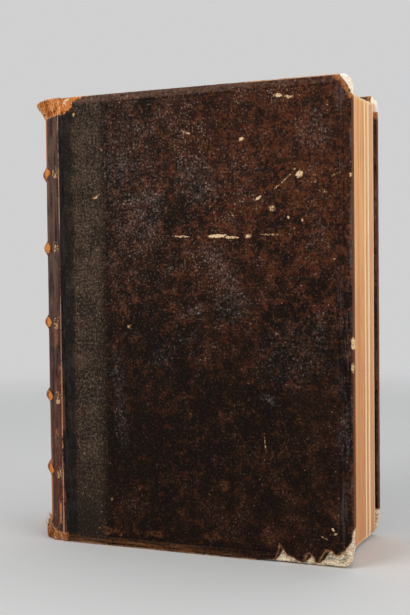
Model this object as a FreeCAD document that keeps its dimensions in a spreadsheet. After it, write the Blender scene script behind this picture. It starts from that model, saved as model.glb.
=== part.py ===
"""Antique folio book in full leather, standing on its foot, in millimetres.

Frame: X runs from the spine (-X) to the fore-edge (+X), Y from the front cover (-Y) to the
back cover (+Y), Z from the foot to the head. The origin is the middle of the foot.
The book is a sewn and rounded block of leaves with five cords across its spine, laced boards,
paste-downs, end bands, and a leather cover that is parted here at the two joints, where the
covers turn.
"""

import FreeCAD
import Part
import Sketcher
import math
import os

Vector = FreeCAD.Vector
BAND_COUNT = 5
TOUCH = 1e-3    # millimetres within which two places count as one

# Driving dimensions: name, millimetres, what it measures.
DIMENSIONS = [
    ("board_height", 360.0, "cover, head to foot, leather included"),
    ("board_reach", 236.0, "cover, spine edge of the board to fore-edge"),
    ("board_thickness", 4.8, "pasteboard alone"),
    ("cover_leather", 0.8, "leather on the covers"),
    ("pastedown_paper", 0.4, "paste-down, and the pared turn-ins beside it"),
    ("leaves_thickness", 89.4, "block of leaves between the covers"),
    ("joint_gap", 0.3, "air between the covers and the block"),
    ("layer_gap", 0.1, "glue line between layers of the spine"),
    ("joint_width", 3.0, "spine edge of the board to the ridge of the joint"),
    ("joint_depth", 0.8, "depth of the groove of the joint"),
    ("joint_slope", 8.0, "width of the slope that falls into the groove"),
    ("hinge_inset", 1.0, "hinge line, from the spine edge of the board"),
    ("lip_clear", 0.3, "hinge line to the leather on either side of it"),
    ("spine_rise", 33.0, "roundness of the spine, ridge of the joint to crown"),
    ("spine_leather", 1.2, "leather on the spine"),
    ("spine_lining", 0.6, "paper lining under the leather of the spine"),
    ("lining_margin", 1.0, "sides of the leaves to the edge of a lining"),
    ("shoulder_height", 3.9, "shoulder of the backed leaves, over their sides"),
    ("head_square", 6.0, "cover above the leaves at the head"),
    ("tail_square", 3.0, "cover below the leaves at the foot"),
    ("fore_square", 3.5, "cover past the leaves at the fore-edge"),
    ("fore_hollow", 5.5, "hollow of the fore-edge"),
    ("first_band", 55.6, "foot to the middle of the lowest band"),
    ("last_band", 58.8, "middle of the highest band to the head"),
    ("band_width", 11.0, "raised band at its root"),
    ("band_height", 4.0, "raised band over the leather beside it, at the crown"),
    ("band_inset", 1.0, "where a band dies away, in from the ridge of the joint"),
    ("cord_size", 4.2, "sewing cord under a band, across"),
    ("cord_sink", 4.0, "cord's line below the leather's face at the shoulder"),
    ("channel_past", 6.0, "degrees that a cord's channel runs on past the shoulder"),
    ("slip_length", 20.0, "laced end of a cord, past the slope of the board"),
    ("slip_width", 9.0, "laced end of a cord, fanned out"),
    ("slip_thickness", 1.0, "laced end of a cord, beaten flat"),
    ("head_band", 4.0, "core of the band at the head, across"),
    ("tail_band", 1.7, "crushed core of the band at the foot, across"),
    ("cap_lip", 5.5, "how far a cap reaches in over its end band"),
    ("head_cap_rise", 11.0, "height of the cap at the head"),
    ("head_cap_flare", 6.2, "how far the cap at the head stands out from the crown"),
    ("head_cap_belly", 5.0, "head to where the cap stands out most"),
    ("head_cap_edge", 1.4, "how far the end of the cap lies back from there"),
    ("tail_cap_rise", 17.0, "height of the splayed cap at the foot"),
    ("tail_cap_flare", 3.4, "how far the cap at the foot stands out from the crown"),
    ("tail_cap_spread", 4.9, "how far it stands out at its two corners"),
    ("tail_cap_corner", 52.0, "degrees from the crown to each corner"),
    ("turn_in", 10.0, "leather turned in over the inner face of a board"),
    ("corner_round", 7.0, "rounded fore-edge corner of a board"),
    ("edge_wear", 1.2, "rounding of the leather's outer edges"),
    ("head_corner_wide", 11.0, "bare head corner, along the head"),
    ("head_corner_tall", 17.0, "bare head corner, along the fore-edge"),
    ("foot_corner_wide", 22.0, "bare foot corner, along the foot"),
    ("foot_corner_tall", 19.0, "bare foot corner, along the fore-edge"),
    ("corner_bow", 0.33, "share of a bare corner's reach left where its edge bows in"),
    ("overcut", 1.0, "how far a cut runs past what it cuts"),
]

# Places that follow from the dimensions: name, expression.
PLACES = [
    ("cover_thickness", "dims.cover_leather + dims.board_thickness + dims.pastedown_paper"),
    ("leaf_side", "dims.leaves_thickness / 2"),
    ("half_thickness", "places.leaf_side + dims.joint_gap + places.cover_thickness"),
    ("stands_out", "max(dims.band_height; dims.head_cap_flare; dims.tail_cap_flare)"),
    ("fore_x", "(dims.board_reach + dims.joint_width + dims.spine_rise + places.stands_out) / 2"),
    ("board_x", "places.fore_x - dims.board_reach"),
    ("ridge_x", "places.board_x - dims.joint_width"),
    ("crown_x", "places.ridge_x - dims.spine_rise"),
    ("hinge_x", "places.board_x - dims.hinge_inset"),
    ("spine_radius", "(places.half_thickness ^ 2 + dims.spine_rise ^ 2) / (2 * dims.spine_rise)"),
    ("spine_axis_x", "places.crown_x + places.spine_radius"),
    ("spine_inner", "places.spine_radius - dims.spine_leather"),
    ("lining_outer", "places.spine_inner - dims.layer_gap"),
    ("lining_inner", "places.lining_outer - dims.spine_lining"),
    ("block_radius", "places.lining_inner - dims.layer_gap"),
    ("block_foot", "dims.tail_square"),
    ("block_height", "dims.board_height - dims.head_square - dims.tail_square"),
    ("block_head", "places.block_foot + places.block_height"),
    ("block_fore_x", "places.fore_x - dims.fore_square"),
    ("block_root_x", "places.board_x - dims.joint_gap"),
    ("shoulder_y", "places.leaf_side + dims.shoulder_height"),
    ("shoulder_x", "places.spine_axis_x - sqrt(places.block_radius ^ 2 - places.shoulder_y ^ 2)"),
    ("lip_x", "places.hinge_x - dims.lip_clear"),
    ("lip_y", "places.half_thickness - dims.joint_depth"),
    ("inner_end_y", "places.half_thickness - dims.spine_leather"),
    ("inner_end_x", "places.spine_axis_x - sqrt(places.spine_inner ^ 2 - places.inner_end_y ^ 2)"),
    ("band_steps", "dims.board_height - dims.first_band - dims.last_band"),
    ("band_rise", "dims.spine_rise + dims.band_height"),
    ("band_end_y", "places.half_thickness - dims.band_inset"),
    ("band_radius", "(places.band_end_y ^ 2 + places.band_rise ^ 2) / (2 * places.band_rise)"),
    ("band_axis_x", "places.crown_x - dims.band_height + places.band_radius"),
    ("cord_crown_x", "places.spine_axis_x - places.block_radius - dims.cord_size / 2 - dims.layer_gap"),
    ("cord_end_y", "places.half_thickness - dims.cord_sink"),
    ("cord_rise", "places.ridge_x - dims.layer_gap - places.cord_crown_x"),
    ("cord_radius", "(places.cord_end_y ^ 2 + places.cord_rise ^ 2) / (2 * places.cord_rise)"),
    ("cord_axis_x", "places.cord_crown_x + places.cord_radius"),
    ("cord_turn", "2 * asin((places.leaf_side + dims.shoulder_height / 2) / places.cord_radius)"),
    ("channel_turn", "2 * asin(places.cord_end_y / places.cord_radius) + 2 deg * dims.channel_past"),
    ("lining_turn", "2 * asin((places.leaf_side - dims.lining_margin) / places.lining_outer)"),
    ("band_turn", "2 * asin(places.band_end_y / places.band_radius)"),
    ("cap_out", "dims.spine_rise + dims.head_cap_flare"),
    ("cap_radius", "(places.band_end_y ^ 2 + places.cap_out ^ 2) / (2 * places.cap_out)"),
    ("cap_axis_x", "places.crown_x - dims.head_cap_flare + places.cap_radius"),
    ("cap_turn", "2 * asin(places.band_end_y / places.cap_radius)"),
    ("lip_turn", "2 * asin(places.inner_end_y / places.spine_radius)"),
]


def start_document():
    """Make the document, the sheet of driving dimensions and the set of places."""
    doc = FreeCAD.newDocument("leather_book")
    sheet = doc.addObject("Spreadsheet::Sheet", "dims")
    for row, (alias, size, note) in enumerate(DIMENSIONS, start=1):
        sheet.set(f"A{row}", note)
        sheet.set(f"B{row}", str(size))
        sheet.setAlias(f"B{row}", alias)
    doc.recompute()
    places = doc.addObject("App::VarSet", "places")
    for name, expression in PLACES:
        places.addProperty("App::PropertyFloat", name, "Places")
        places.setExpression(name, expression)
    doc.recompute()
    return doc


doc = start_document()


def value(expression):
    """Return what an expression on the sheet and the places gives now, as a plain number."""
    result = doc.places.evalExpression(str(expression))
    return float(getattr(result, "Value", result))


def origin_feature(body, role):
    """Return the plane or axis of a body's own origin with this role."""
    for feature in body.Origin.OriginFeatures:
        if feature.Role == role:
            return feature
    raise ValueError(f"no origin feature {role}")


def add_sketch(body, name, role, shift_x="0", shift_normal="0"):
    """Attach a new sketch to an origin plane, moved along its own X and its normal."""
    sketch = body.newObject("Sketcher::SketchObject", name)
    sketch.AttachmentSupport = [(origin_feature(body, role), "")]
    sketch.MapMode = "FlatFace"
    sketch.setExpression("AttachmentOffset.Base.x", str(shift_x))
    sketch.setExpression("AttachmentOffset.Base.z", str(shift_normal))
    return sketch


def hold_point(sketch, geometry, end, label, across, up):
    """Tie one end of a curve to its place in the sketch, by two named constraints."""
    for kind, axis, expression in (("DistanceX", "x", across), ("DistanceY", "y", up)):
        size = value(expression)
        index = sketch.addConstraint(Sketcher.Constraint(kind, -1, 1, geometry, end, size))
        sketch.renameConstraint(index, f"{label}_{axis}")
        sketch.setExpression(f"Constraints.{label}_{axis}", str(expression))


def arc_through(first, middle, last):
    """Return the arc over three points, turning left, and whether it starts at the first."""
    circle = Part.Circle(first, middle, last)
    centre = circle.Center
    start = math.atan2(first.y - centre.y, first.x - centre.x)
    stop = math.atan2(last.y - centre.y, last.x - centre.x)
    turns_left = (middle - first).cross(last - middle).z > 0
    low, high = (start, stop) if turns_left else (stop, start)
    while high <= low:
        high += 2 * math.pi
    round_line = Part.Circle(centre, Vector(0, 0, 1), circle.Radius)
    return Part.ArcOfCircle(round_line, low, high), turns_left


def draw_outline(sketch, corners):
    """Draw a closed outline from corners of (across, up) or (across, up, arc middle).

    A corner's third entry is the (across, up) of a point that the arc to the next corner
    passes through. Every place is an expression, so the outline follows the sheet.
    """
    count = len(corners)
    points = [Vector(value(corner[0]), value(corner[1]), 0) for corner in corners]
    first_end = []
    last_end = []
    for index, corner in enumerate(corners):
        here = points[index]
        there = points[(index + 1) % count]
        if len(corner) == 3:
            middle = Vector(value(corner[2][0]), value(corner[2][1]), 0)
            curve, forwards = arc_through(here, middle, there)
            geometry = sketch.addGeometry(curve, False)
            first_end.append((geometry, 1 if forwards else 2))
            last_end.append((geometry, 2 if forwards else 1))
        else:
            geometry = sketch.addGeometry(Part.LineSegment(here, there), False)
            first_end.append((geometry, 1))
            last_end.append((geometry, 2))
    for index in range(count):
        following = (index + 1) % count
        link = Sketcher.Constraint("Coincident", *last_end[index], *first_end[following])
        sketch.addConstraint(link)
    for index, corner in enumerate(corners):
        hold_point(sketch, *first_end[index], f"corner{index}", corner[0], corner[1])
        if len(corner) == 3:
            across, up = corner[2]
            through = Vector(value(across), value(up), 0)
            mark = sketch.addGeometry(Part.Point(through), True)
            hold_point(sketch, mark, 1, f"middle{index}", across, up)
            arc = first_end[index][0]
            sketch.addConstraint(Sketcher.Constraint("PointOnObject", mark, 1, arc))


def draw_circle(sketch, across, up, diameter):
    """Draw a full circle about a point that follows the sheet."""
    centre = Vector(value(across), value(up), 0)
    radius = value(diameter) / 2
    ring = sketch.addGeometry(Part.Circle(centre, Vector(0, 0, 1), radius), False)
    hold_point(sketch, ring, 3, "centre", across, up)
    index = sketch.addConstraint(Sketcher.Constraint("Diameter", ring, 2 * radius))
    sketch.renameConstraint(index, "across")
    sketch.setExpression("Constraints.across", str(diameter))


def add_prism(body, kind, name, sketch, length, reverse=False, both_ways=False):
    """Add a Pad or a Pocket of a sketch, its length held by the sheet."""
    feature = body.newObject(f"PartDesign::{kind}", name)
    feature.Profile = sketch
    feature.Reversed = reverse
    feature.Midplane = both_ways
    feature.setExpression("Length", str(length))
    doc.recompute()
    return feature


def add_turn(body, kind, name, sketch, angle):
    """Add a Revolution or a Groove about the sketch's upright axis, even on both sides."""
    feature = body.newObject(f"PartDesign::{kind}", name)
    feature.Profile = sketch
    feature.ReferenceAxis = (sketch, ["V_Axis"])
    feature.Midplane = True
    feature.setExpression("Angle", str(angle))
    doc.recompute()
    return feature


def repeat_up(body, name, features):
    """Repeat features at every band, one pitch above the other."""
    pattern = body.newObject("PartDesign::LinearPattern", name)
    pattern.Originals = features
    pattern.Direction = (origin_feature(body, "Z_Axis"), [""])
    pattern.Occurrences = BAND_COUNT
    pattern.setExpression("Length", "places.band_steps")
    body.Tip = pattern
    doc.recompute()
    return pattern


def new_body(label):
    """Start one piece of the book."""
    body = doc.addObject("PartDesign::Body", label)
    body.Label = label
    body.Placement = FreeCAD.Placement()
    return body


def must_cut(body, before):
    """Stop if the last cut took nothing away from the piece."""
    if body.Shape.Volume >= before - TOUCH:
        raise RuntimeError(f"a cut in {body.Label} took nothing away")


def band_height_of(index):
    """Return the expression for the height of a band's middle over the foot."""
    return f"dims.first_band + places.band_steps * {index} / {BAND_COUNT - 1}"


def turned_body(label, axis_x, angle, corners=None, circle=None):
    """Make a piece that is one section turned about an upright line behind the spine."""
    body = new_body(label)
    sketch = add_sketch(body, f"{label}_section", "XZ_Plane", shift_x=axis_x)
    if corners:
        draw_outline(sketch, corners)
    else:
        draw_circle(sketch, *circle)
    add_turn(body, "Revolution", f"{label}_turn", sketch, angle)
    return body


def make_text_block():
    """The sewn leaves: rounded and backed at the spine, hollow at the fore-edge."""
    body = new_body("text_block")
    outline = add_sketch(body, "leaves_outline", "XY_Plane", shift_normal="places.block_foot")
    crown = "places.spine_axis_x - places.block_radius"
    hollow = "places.block_fore_x - dims.fore_hollow"
    draw_outline(outline, [
        ("places.block_fore_x", "-places.leaf_side"),
        ("places.block_root_x", "-places.leaf_side"),
        ("places.shoulder_x", "-places.shoulder_y", (crown, "0")),
        ("places.shoulder_x", "places.shoulder_y"),
        ("places.block_root_x", "places.leaf_side"),
        ("places.block_fore_x", "places.leaf_side", (hollow, "0")),
    ])
    add_prism(body, "Pad", "leaves", outline, "places.block_height")
    uncut = body.Shape.Volume
    add_cord_channels(body)
    must_cut(body, uncut)
    return body


def add_cord_channels(body):
    """Cut the channels that the cords lie in, across the piece at every band."""
    section = add_sketch(body, f"{body.Label}_channel_section", "XZ_Plane",
                         shift_x="places.cord_axis_x")
    draw_circle(section, "-places.cord_radius", "dims.first_band",
                "dims.cord_size + 2 * dims.layer_gap")
    channel = add_turn(body, "Groove", f"{body.Label}_channel", section, "places.channel_turn")
    repeat_up(body, f"{body.Label}_channels", [channel])


def make_band_cords():
    """The five cords that the leaves are sewn on, up to the shoulders."""
    for index in range(BAND_COUNT):
        turned_body(f"band_cord_{index + 1}", "places.cord_axis_x", "places.cord_turn",
                    circle=("-places.cord_radius", band_height_of(index), "dims.cord_size"))


def make_spine_linings():
    """The paper panels glued to the spine between the cords, one more than the cords."""
    clear = "(dims.cord_size / 2 + 2 * dims.layer_gap)"
    for index in range(BAND_COUNT + 1):
        low = "places.block_foot"
        high = "places.block_head"
        if index > 0:
            low = f"{band_height_of(index - 1)} + {clear}"
        if index < BAND_COUNT:
            high = f"{band_height_of(index)} - {clear}"
        turned_body(f"spine_lining_{index + 1}", "places.spine_axis_x", "places.lining_turn", [
            ("-places.lining_outer", low),
            ("-places.lining_inner", low),
            ("-places.lining_inner", high),
            ("-places.lining_outer", high),
        ])


def make_end_bands():
    """The worked bands that sit on the leaves at the head and the foot of the spine."""
    rows = (
        ("headband", "dims.head_band", "places.block_head + dims.head_band / 2"),
        ("tailband", "dims.tail_band", "places.block_foot - dims.tail_band / 2"),
    )
    for label, size, height in rows:
        turned_body(label, "places.spine_axis_x", "places.lining_turn",
                    circle=(f"-(places.block_radius - {size} / 2)", height, size))


def make_spine_leather():
    """The leather of the spine, moulded over the cords and turned over the end bands."""
    body = new_body("spine_leather")
    outline = add_sketch(body, "spine_outline", "XY_Plane")
    draw_outline(outline, [
        ("places.ridge_x", "-places.half_thickness", ("places.crown_x", "0")),
        ("places.ridge_x", "places.half_thickness"),
        ("places.lip_x", "places.lip_y"),
        ("places.lip_x", "-places.lip_y"),
    ])
    add_prism(body, "Pad", "spine_form", outline, "dims.board_height")

    ridge_section = add_sketch(body, "ridge_section", "XZ_Plane", shift_x="places.band_axis_x")
    root = "-(places.band_radius - dims.band_height - dims.spine_leather / 2)"
    draw_outline(ridge_section, [
        (root, "dims.first_band + dims.band_width / 2",
         ("-places.band_radius", "dims.first_band")),
        (root, "dims.first_band - dims.band_width / 2"),
    ])
    ridge = add_turn(body, "Revolution", "ridge", ridge_section, "places.band_turn")
    repeat_up(body, "ridges", [ridge])

    add_head_cap(body)
    add_tail_cap(body)

    lip_inner = "(places.lip_y - dims.spine_leather)"
    beyond = "places.lip_x + dims.overcut"
    hollow = add_sketch(body, "spine_hollow_outline", "XY_Plane")
    draw_outline(hollow, [
        ("places.inner_end_x", "-places.inner_end_y",
         ("places.crown_x + dims.spine_leather", "0")),
        ("places.inner_end_x", "places.inner_end_y"),
        ("places.lip_x", lip_inner),
        (beyond, lip_inner),
        (beyond, f"-{lip_inner}"),
        ("places.lip_x", f"-{lip_inner}"),
    ])
    uncut = body.Shape.Volume
    add_prism(body, "Pocket", "spine_hollow", hollow, "dims.board_height", reverse=True)
    must_cut(body, uncut)

    add_cap_lip(body, "head_lip", "dims.board_height", "-")
    add_cap_lip(body, "tail_lip", "0", "+")

    uncut = body.Shape.Volume
    add_cord_channels(body)
    must_cut(body, uncut)
    return body


def add_head_cap(body):
    """Let the leather stand out round the band at the head, most at the crown of the spine."""
    section = add_sketch(body, "head_cap_section", "XZ_Plane", shift_x="places.cap_axis_x")
    root = "-(places.cap_radius - dims.head_cap_flare - dims.spine_leather / 2)"
    draw_outline(section, [
        (root, "dims.board_height - dims.head_cap_rise",
         ("-places.cap_radius", "dims.board_height - dims.head_cap_belly")),
        ("-(places.cap_radius - dims.head_cap_edge)", "dims.board_height"),
        (root, "dims.board_height"),
    ])
    add_turn(body, "Revolution", "head_cap", section, "places.cap_turn")


def add_tail_cap(body):
    """Let the leather splay out at the foot, where the book's weight has crushed its cap."""
    foot = add_sketch(body, "tail_cap_foot", "XY_Plane")
    draw_outline(foot, cap_outline("dims.tail_cap_spread", "dims.tail_cap_flare"))
    top = add_sketch(body, "tail_cap_top", "XY_Plane", shift_normal="dims.tail_cap_rise")
    within = "-dims.spine_leather / 2"
    draw_outline(top, cap_outline(within, within))
    splay = body.newObject("PartDesign::AdditiveLoft", "tail_cap")
    splay.Profile = foot
    splay.Sections = [top]
    splay.Ruled = True
    body.Tip = splay
    doc.recompute()


def cap_outline(spread, flare):
    """Return an outline round the spine that stands out by spread at its two corners."""
    reach = f"(places.spine_radius + {spread})"
    corner_x = f"places.spine_axis_x - {reach} * cos(1 deg * dims.tail_cap_corner)"
    corner_y = f"{reach} * sin(1 deg * dims.tail_cap_corner)"
    return [
        ("places.ridge_x", "-places.band_end_y"),
        (corner_x, f"-({corner_y})", (f"places.crown_x - ({flare})", "0")),
        (corner_x, corner_y),
        ("places.ridge_x", "places.band_end_y"),
    ]


def add_cap_lip(body, name, end, sign):
    """Turn the leather in over one end band."""
    section = add_sketch(body, f"{name}_lip_section", "XZ_Plane", shift_x="places.spine_axis_x")
    under = f"{end} {sign} dims.spine_leather"
    outer = "-(places.spine_inner + dims.spine_leather / 2)"
    inner = "-(places.spine_inner - dims.cap_lip)"
    draw_outline(section, [(outer, under), (outer, end), (inner, end), (inner, under)])
    add_turn(body, "Revolution", f"{name}_lip", section, "places.lip_turn")


def cover_section(inner_y, lift, left):
    """Return a cover's outline across the joint and the board, for one side of the book.

    The outer line slopes down into the groove of the joint. lift is how far the outline lies
    inside the cover's face, and left is where it ends at the spine.
    """
    face = f"(places.half_thickness - {lift})"
    return [
        (left, inner_y),
        (left, f"{face} - dims.joint_depth"),
        ("places.board_x + dims.joint_slope", face),
    ]


def side_outline(corners, side):
    """Put an outline on the front (-1) or the back (+1) of the book."""
    return [(across, f"({side}) * ({up})") for across, up in corners]


def corner_edges(shape, reach, low, high):
    """Name the two short edges at the fore-edge corners, which run through the board."""
    found = []
    for number, edge in enumerate(shape.Edges, start=1):
        first = edge.Vertexes[0].Point
        last = edge.Vertexes[-1].Point
        through = abs(first.x - last.x) < TOUCH and abs(first.z - last.z) < TOUCH
        at_end = min(abs(first.z - low), abs(first.z - high)) < TOUCH
        if through and at_end and abs(first.x - reach) < TOUCH:
            found.append(f"Edge{number}")
    return found


def round_corners(body, base, name, radius, reach, low, high):
    """Round the two fore-edge corners of a board or of its leather."""
    edges = corner_edges(base.Shape, value(reach), value(low), value(high))
    fillet = body.newObject("PartDesign::Fillet", name)
    fillet.Base = (base, edges)
    fillet.setExpression("Radius", radius)
    body.Tip = fillet
    doc.recompute()
    return fillet


def make_board(name, side):
    """One pasteboard, sloped into the joint, with channels for the laced cords."""
    body = new_body(f"{name}_board")
    lift = "dims.cover_leather"
    inner = "places.half_thickness - dims.cover_leather - dims.board_thickness"
    reach = "places.fore_x - dims.cover_leather"
    outline = cover_section(inner, lift, "places.board_x") + [
        (reach, f"places.half_thickness - {lift}"),
        (reach, inner),
    ]
    sketch = add_sketch(body, f"{name}_board_outline", "XY_Plane", shift_normal="dims.cover_leather")
    draw_outline(sketch, side_outline(outline, side))
    slab = add_prism(body, "Pad", f"{name}_board_slab", sketch,
                     "dims.board_height - 2 * dims.cover_leather")
    round_corners(body, slab, f"{name}_board_corners", "dims.corner_round", reach,
                  "dims.cover_leather", "dims.board_height - dims.cover_leather")
    uncut = body.Shape.Volume
    channel = add_sketch(body, f"{name}_slip_channel", "XY_Plane",
                         shift_normal="dims.first_band")
    draw_outline(channel, side_outline(slip_section("dims.layer_gap"), side))
    pocket = add_prism(body, "Pocket", f"{name}_slip_pocket", channel,
                       "dims.slip_width + 2 * dims.layer_gap", both_ways=True)
    repeat_up(body, f"{name}_slip_pockets", [pocket])
    must_cut(body, uncut)
    return body


def slip_section(grow):
    """Return the outline of a flattened cord end, which follows the board's face and slope.

    grow is how much longer and deeper it is, for the channel that it lies in.
    """
    face = "(places.half_thickness - dims.cover_leather)"
    turn_x = "places.board_x + dims.joint_slope"
    end_x = f"{turn_x} + dims.slip_length + {grow}"
    bed = f"{face} - (dims.slip_thickness + {grow})"
    return [
        ("places.board_x", f"{face} - dims.joint_depth"),
        (turn_x, face),
        (end_x, face),
        (end_x, bed),
        (turn_x, bed),
        ("places.board_x", f"{bed} - dims.joint_depth"),
    ]


def make_slips(name, side):
    """The frayed ends of the cords, laced to a board and beaten flat into it."""
    for index in range(BAND_COUNT):
        body = new_body(f"{name}_slip_{index + 1}")
        sketch = add_sketch(body, f"{name}_slip_outline_{index + 1}", "XY_Plane",
                            shift_normal=band_height_of(index))
        draw_outline(sketch, side_outline(slip_section("0"), side))
        add_prism(body, "Pad", f"{name}_slip_pad_{index + 1}", sketch, "dims.slip_width",
                  both_ways=True)


def make_cover_leather(name, side):
    """The leather of one cover, turned in over three edges and worn through at two corners."""
    body = new_body(f"{name}_leather")
    left = "places.hinge_x + dims.lip_clear"
    inner = "places.leaf_side + dims.joint_gap"
    board_inner = "places.half_thickness - dims.cover_leather - dims.board_thickness"
    outline = cover_section(board_inner, "0", left) + [
        ("places.fore_x", "places.half_thickness"),
        ("places.fore_x", inner),
        ("places.board_x", inner),
        ("places.board_x", board_inner),
    ]
    sketch = add_sketch(body, f"{name}_leather_outline", "XY_Plane")
    draw_outline(sketch, side_outline(outline, side))
    slab = add_prism(body, "Pad", f"{name}_leather_slab", sketch, "dims.board_height")
    rounded = round_corners(body, slab, f"{name}_leather_corners",
                            "dims.corner_round + dims.cover_leather", "places.fore_x", "0",
                            "dims.board_height")
    wear_edges(body, rounded, name, side)

    reach = "places.fore_x - dims.cover_leather"
    bed = cover_section(board_inner, "dims.cover_leather", left) + [
        (reach, "places.half_thickness - dims.cover_leather"),
        (reach, board_inner),
    ]
    uncut = body.Shape.Volume
    bed_sketch = add_sketch(body, f"{name}_bed_outline", "XY_Plane", shift_normal="dims.cover_leather")
    draw_outline(bed_sketch, side_outline(bed, side))
    add_prism(body, "Pocket", f"{name}_bed", bed_sketch,
              "dims.board_height - 2 * dims.cover_leather", reverse=True)
    must_cut(body, uncut)

    uncut = body.Shape.Volume
    before = "places.board_x - dims.overcut"
    window = [
        (before, f"{inner} - dims.overcut"),
        ("places.fore_x - dims.turn_in", f"{inner} - dims.overcut"),
        ("places.fore_x - dims.turn_in", board_inner),
        (before, board_inner),
    ]
    window_sketch = add_sketch(body, f"{name}_window_outline", "XY_Plane", shift_normal="dims.turn_in")
    draw_outline(window_sketch, side_outline(window, side))
    add_prism(body, "Pocket", f"{name}_window", window_sketch,
              "dims.board_height - 2 * dims.turn_in", reverse=True)
    must_cut(body, uncut)

    for end, height, sign in (("head", "dims.board_height", "-"), ("foot", "0", "+")):
        bare_corner(body, f"{name}_{end}", end, height, sign)
    return body


def wear_edges(body, base, name, side):
    """Round the leather's outer edge along the fore-edge, the head and the foot."""
    face_y = side * value("places.half_thickness")
    left = value("places.board_x + dims.joint_slope")
    edges = []
    for number, edge in enumerate(base.Shape.Edges, start=1):
        ends = [vertex.Point for vertex in edge.Vertexes]
        on_face = all(abs(end.y - face_y) < TOUCH for end in ends)
        along_slope = all(abs(end.x - left) < TOUCH for end in ends)
        if on_face and not along_slope:
            edges.append(f"Edge{number}")
    fillet = body.newObject("PartDesign::Fillet", f"{name}_worn_edges")
    fillet.Base = (base, edges)
    fillet.setExpression("Radius", "min(dims.edge_wear; dims.board_thickness)")
    body.Tip = fillet
    doc.recompute()


def bare_corner(body, name, end, height, sign):
    """Cut the leather away where the corner of the board shows bare."""
    wide = f"places.fore_x - dims.{end}_corner_wide"
    tall = f"{height} {sign} dims.{end}_corner_tall"
    middle = (f"places.fore_x - dims.{end}_corner_wide * dims.corner_bow",
              f"{height} {sign} dims.{end}_corner_tall * dims.corner_bow")
    sketch = add_sketch(body, f"{name}_bare_outline", "XZ_Plane")
    beyond = "places.fore_x + dims.overcut"
    past = f"{height} {'+' if sign == '-' else '-'} dims.overcut"
    draw_outline(sketch, [
        (wide, f"{height}", middle),
        ("places.fore_x", tall),
        (beyond, tall),
        (beyond, past),
        (wide, past),
    ])
    uncut = body.Shape.Volume
    through = "2 * (places.half_thickness + dims.overcut)"
    add_prism(body, "Pocket", f"{name}_bare", sketch, through, both_ways=True)
    must_cut(body, uncut)


def make_pastedown(name, side):
    """The end leaf pasted down inside one cover, within the turn-ins."""
    box = doc.addObject("Part::Box", f"{name}_pastedown")
    box.Label = f"{name}_pastedown"
    inset = "(dims.turn_in + dims.layer_gap)"
    box.setExpression("Length", f"dims.board_reach - {inset}")
    box.setExpression("Width", "dims.pastedown_paper")
    box.setExpression("Height", f"dims.board_height - 2 * {inset}")
    box.setExpression("Placement.Base.x", "places.board_x")
    inner = "(places.leaf_side + dims.joint_gap)"
    place = inner if side > 0 else f"-{inner} - dims.pastedown_paper"
    box.setExpression("Placement.Base.y", place)
    box.setExpression("Placement.Base.z", inset)
    doc.recompute()
    return box


def build():
    """Make every piece of the book."""
    make_text_block()
    make_band_cords()
    make_spine_linings()
    make_end_bands()
    make_spine_leather()
    for name, side in (("front", -1), ("back", 1)):
        make_board(name, side)
        make_slips(name, side)
        make_cover_leather(name, side)
        make_pastedown(name, side)
    doc.recompute()


def sub_parts():
    """List the pieces: every body, and every box that stands by itself."""
    kinds = ("PartDesign::Body", "Part::Box")
    return [piece for piece in doc.Objects if piece.TypeId in kinds]


def check():
    """Stop if anything in the document failed or a piece is not one sound solid."""
    for item in doc.Objects:
        if "Invalid" in item.State or "Error" in item.State:
            raise RuntimeError(f"{item.Label} failed: {item.State}")
    for piece in sub_parts():
        shape = piece.Shape
        if shape.isNull() or not shape.isValid() or len(shape.Solids) != 1:
            raise RuntimeError(f"{piece.Label} is not one sound solid")


def write():
    """Write each piece to its own file, named after it."""
    os.makedirs("parts", exist_ok=True)
    for piece in sub_parts():
        piece.Shape.exportStep(f"parts/{piece.Label}.step")
        size = piece.Shape.BoundBox
        print(f"{piece.Label}: {piece.Shape.Volume:.0f} mm3, "
              f"x {size.XMin:.2f} {size.XMax:.2f}, y {size.YMin:.2f} {size.YMax:.2f}, "
              f"z {size.ZMin:.2f} {size.ZMax:.2f}")


build()
check()
write()
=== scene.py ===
"""The looks of an antique leather folio that stands on its foot.

The covers, the spine, the joints, the boards, the leaves and the end bands are surfaces worked
out here as whole arrays, in millimetres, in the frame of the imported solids: X runs to the
fore-edge, Y from the front cover to the back cover, Z from the foot to the head.
"""

import logging
import math
from dataclasses import dataclass, field
from enum import Enum
from typing import Iterable, Sequence, Union

import bmesh
import bpy
import numpy as np
from mathutils import Matrix, Vector


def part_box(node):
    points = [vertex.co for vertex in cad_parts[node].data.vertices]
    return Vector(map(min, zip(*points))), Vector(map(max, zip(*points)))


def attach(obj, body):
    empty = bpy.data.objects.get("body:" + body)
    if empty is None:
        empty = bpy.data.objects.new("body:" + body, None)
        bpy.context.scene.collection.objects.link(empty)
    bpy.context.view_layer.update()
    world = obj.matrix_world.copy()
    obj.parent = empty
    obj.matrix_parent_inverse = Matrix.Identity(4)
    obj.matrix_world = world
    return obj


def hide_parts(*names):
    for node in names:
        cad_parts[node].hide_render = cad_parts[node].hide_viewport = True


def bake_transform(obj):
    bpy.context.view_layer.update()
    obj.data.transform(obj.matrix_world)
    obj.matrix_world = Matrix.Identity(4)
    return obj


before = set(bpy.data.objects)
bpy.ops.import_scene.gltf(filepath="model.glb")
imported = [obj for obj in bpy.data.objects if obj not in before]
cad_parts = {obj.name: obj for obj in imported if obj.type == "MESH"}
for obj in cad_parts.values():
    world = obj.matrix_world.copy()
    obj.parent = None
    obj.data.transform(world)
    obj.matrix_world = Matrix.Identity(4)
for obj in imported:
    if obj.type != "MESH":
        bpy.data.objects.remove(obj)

logging.basicConfig(level=logging.INFO, format="%(message)s")
log = logging.getLogger("leather_book")

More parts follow.
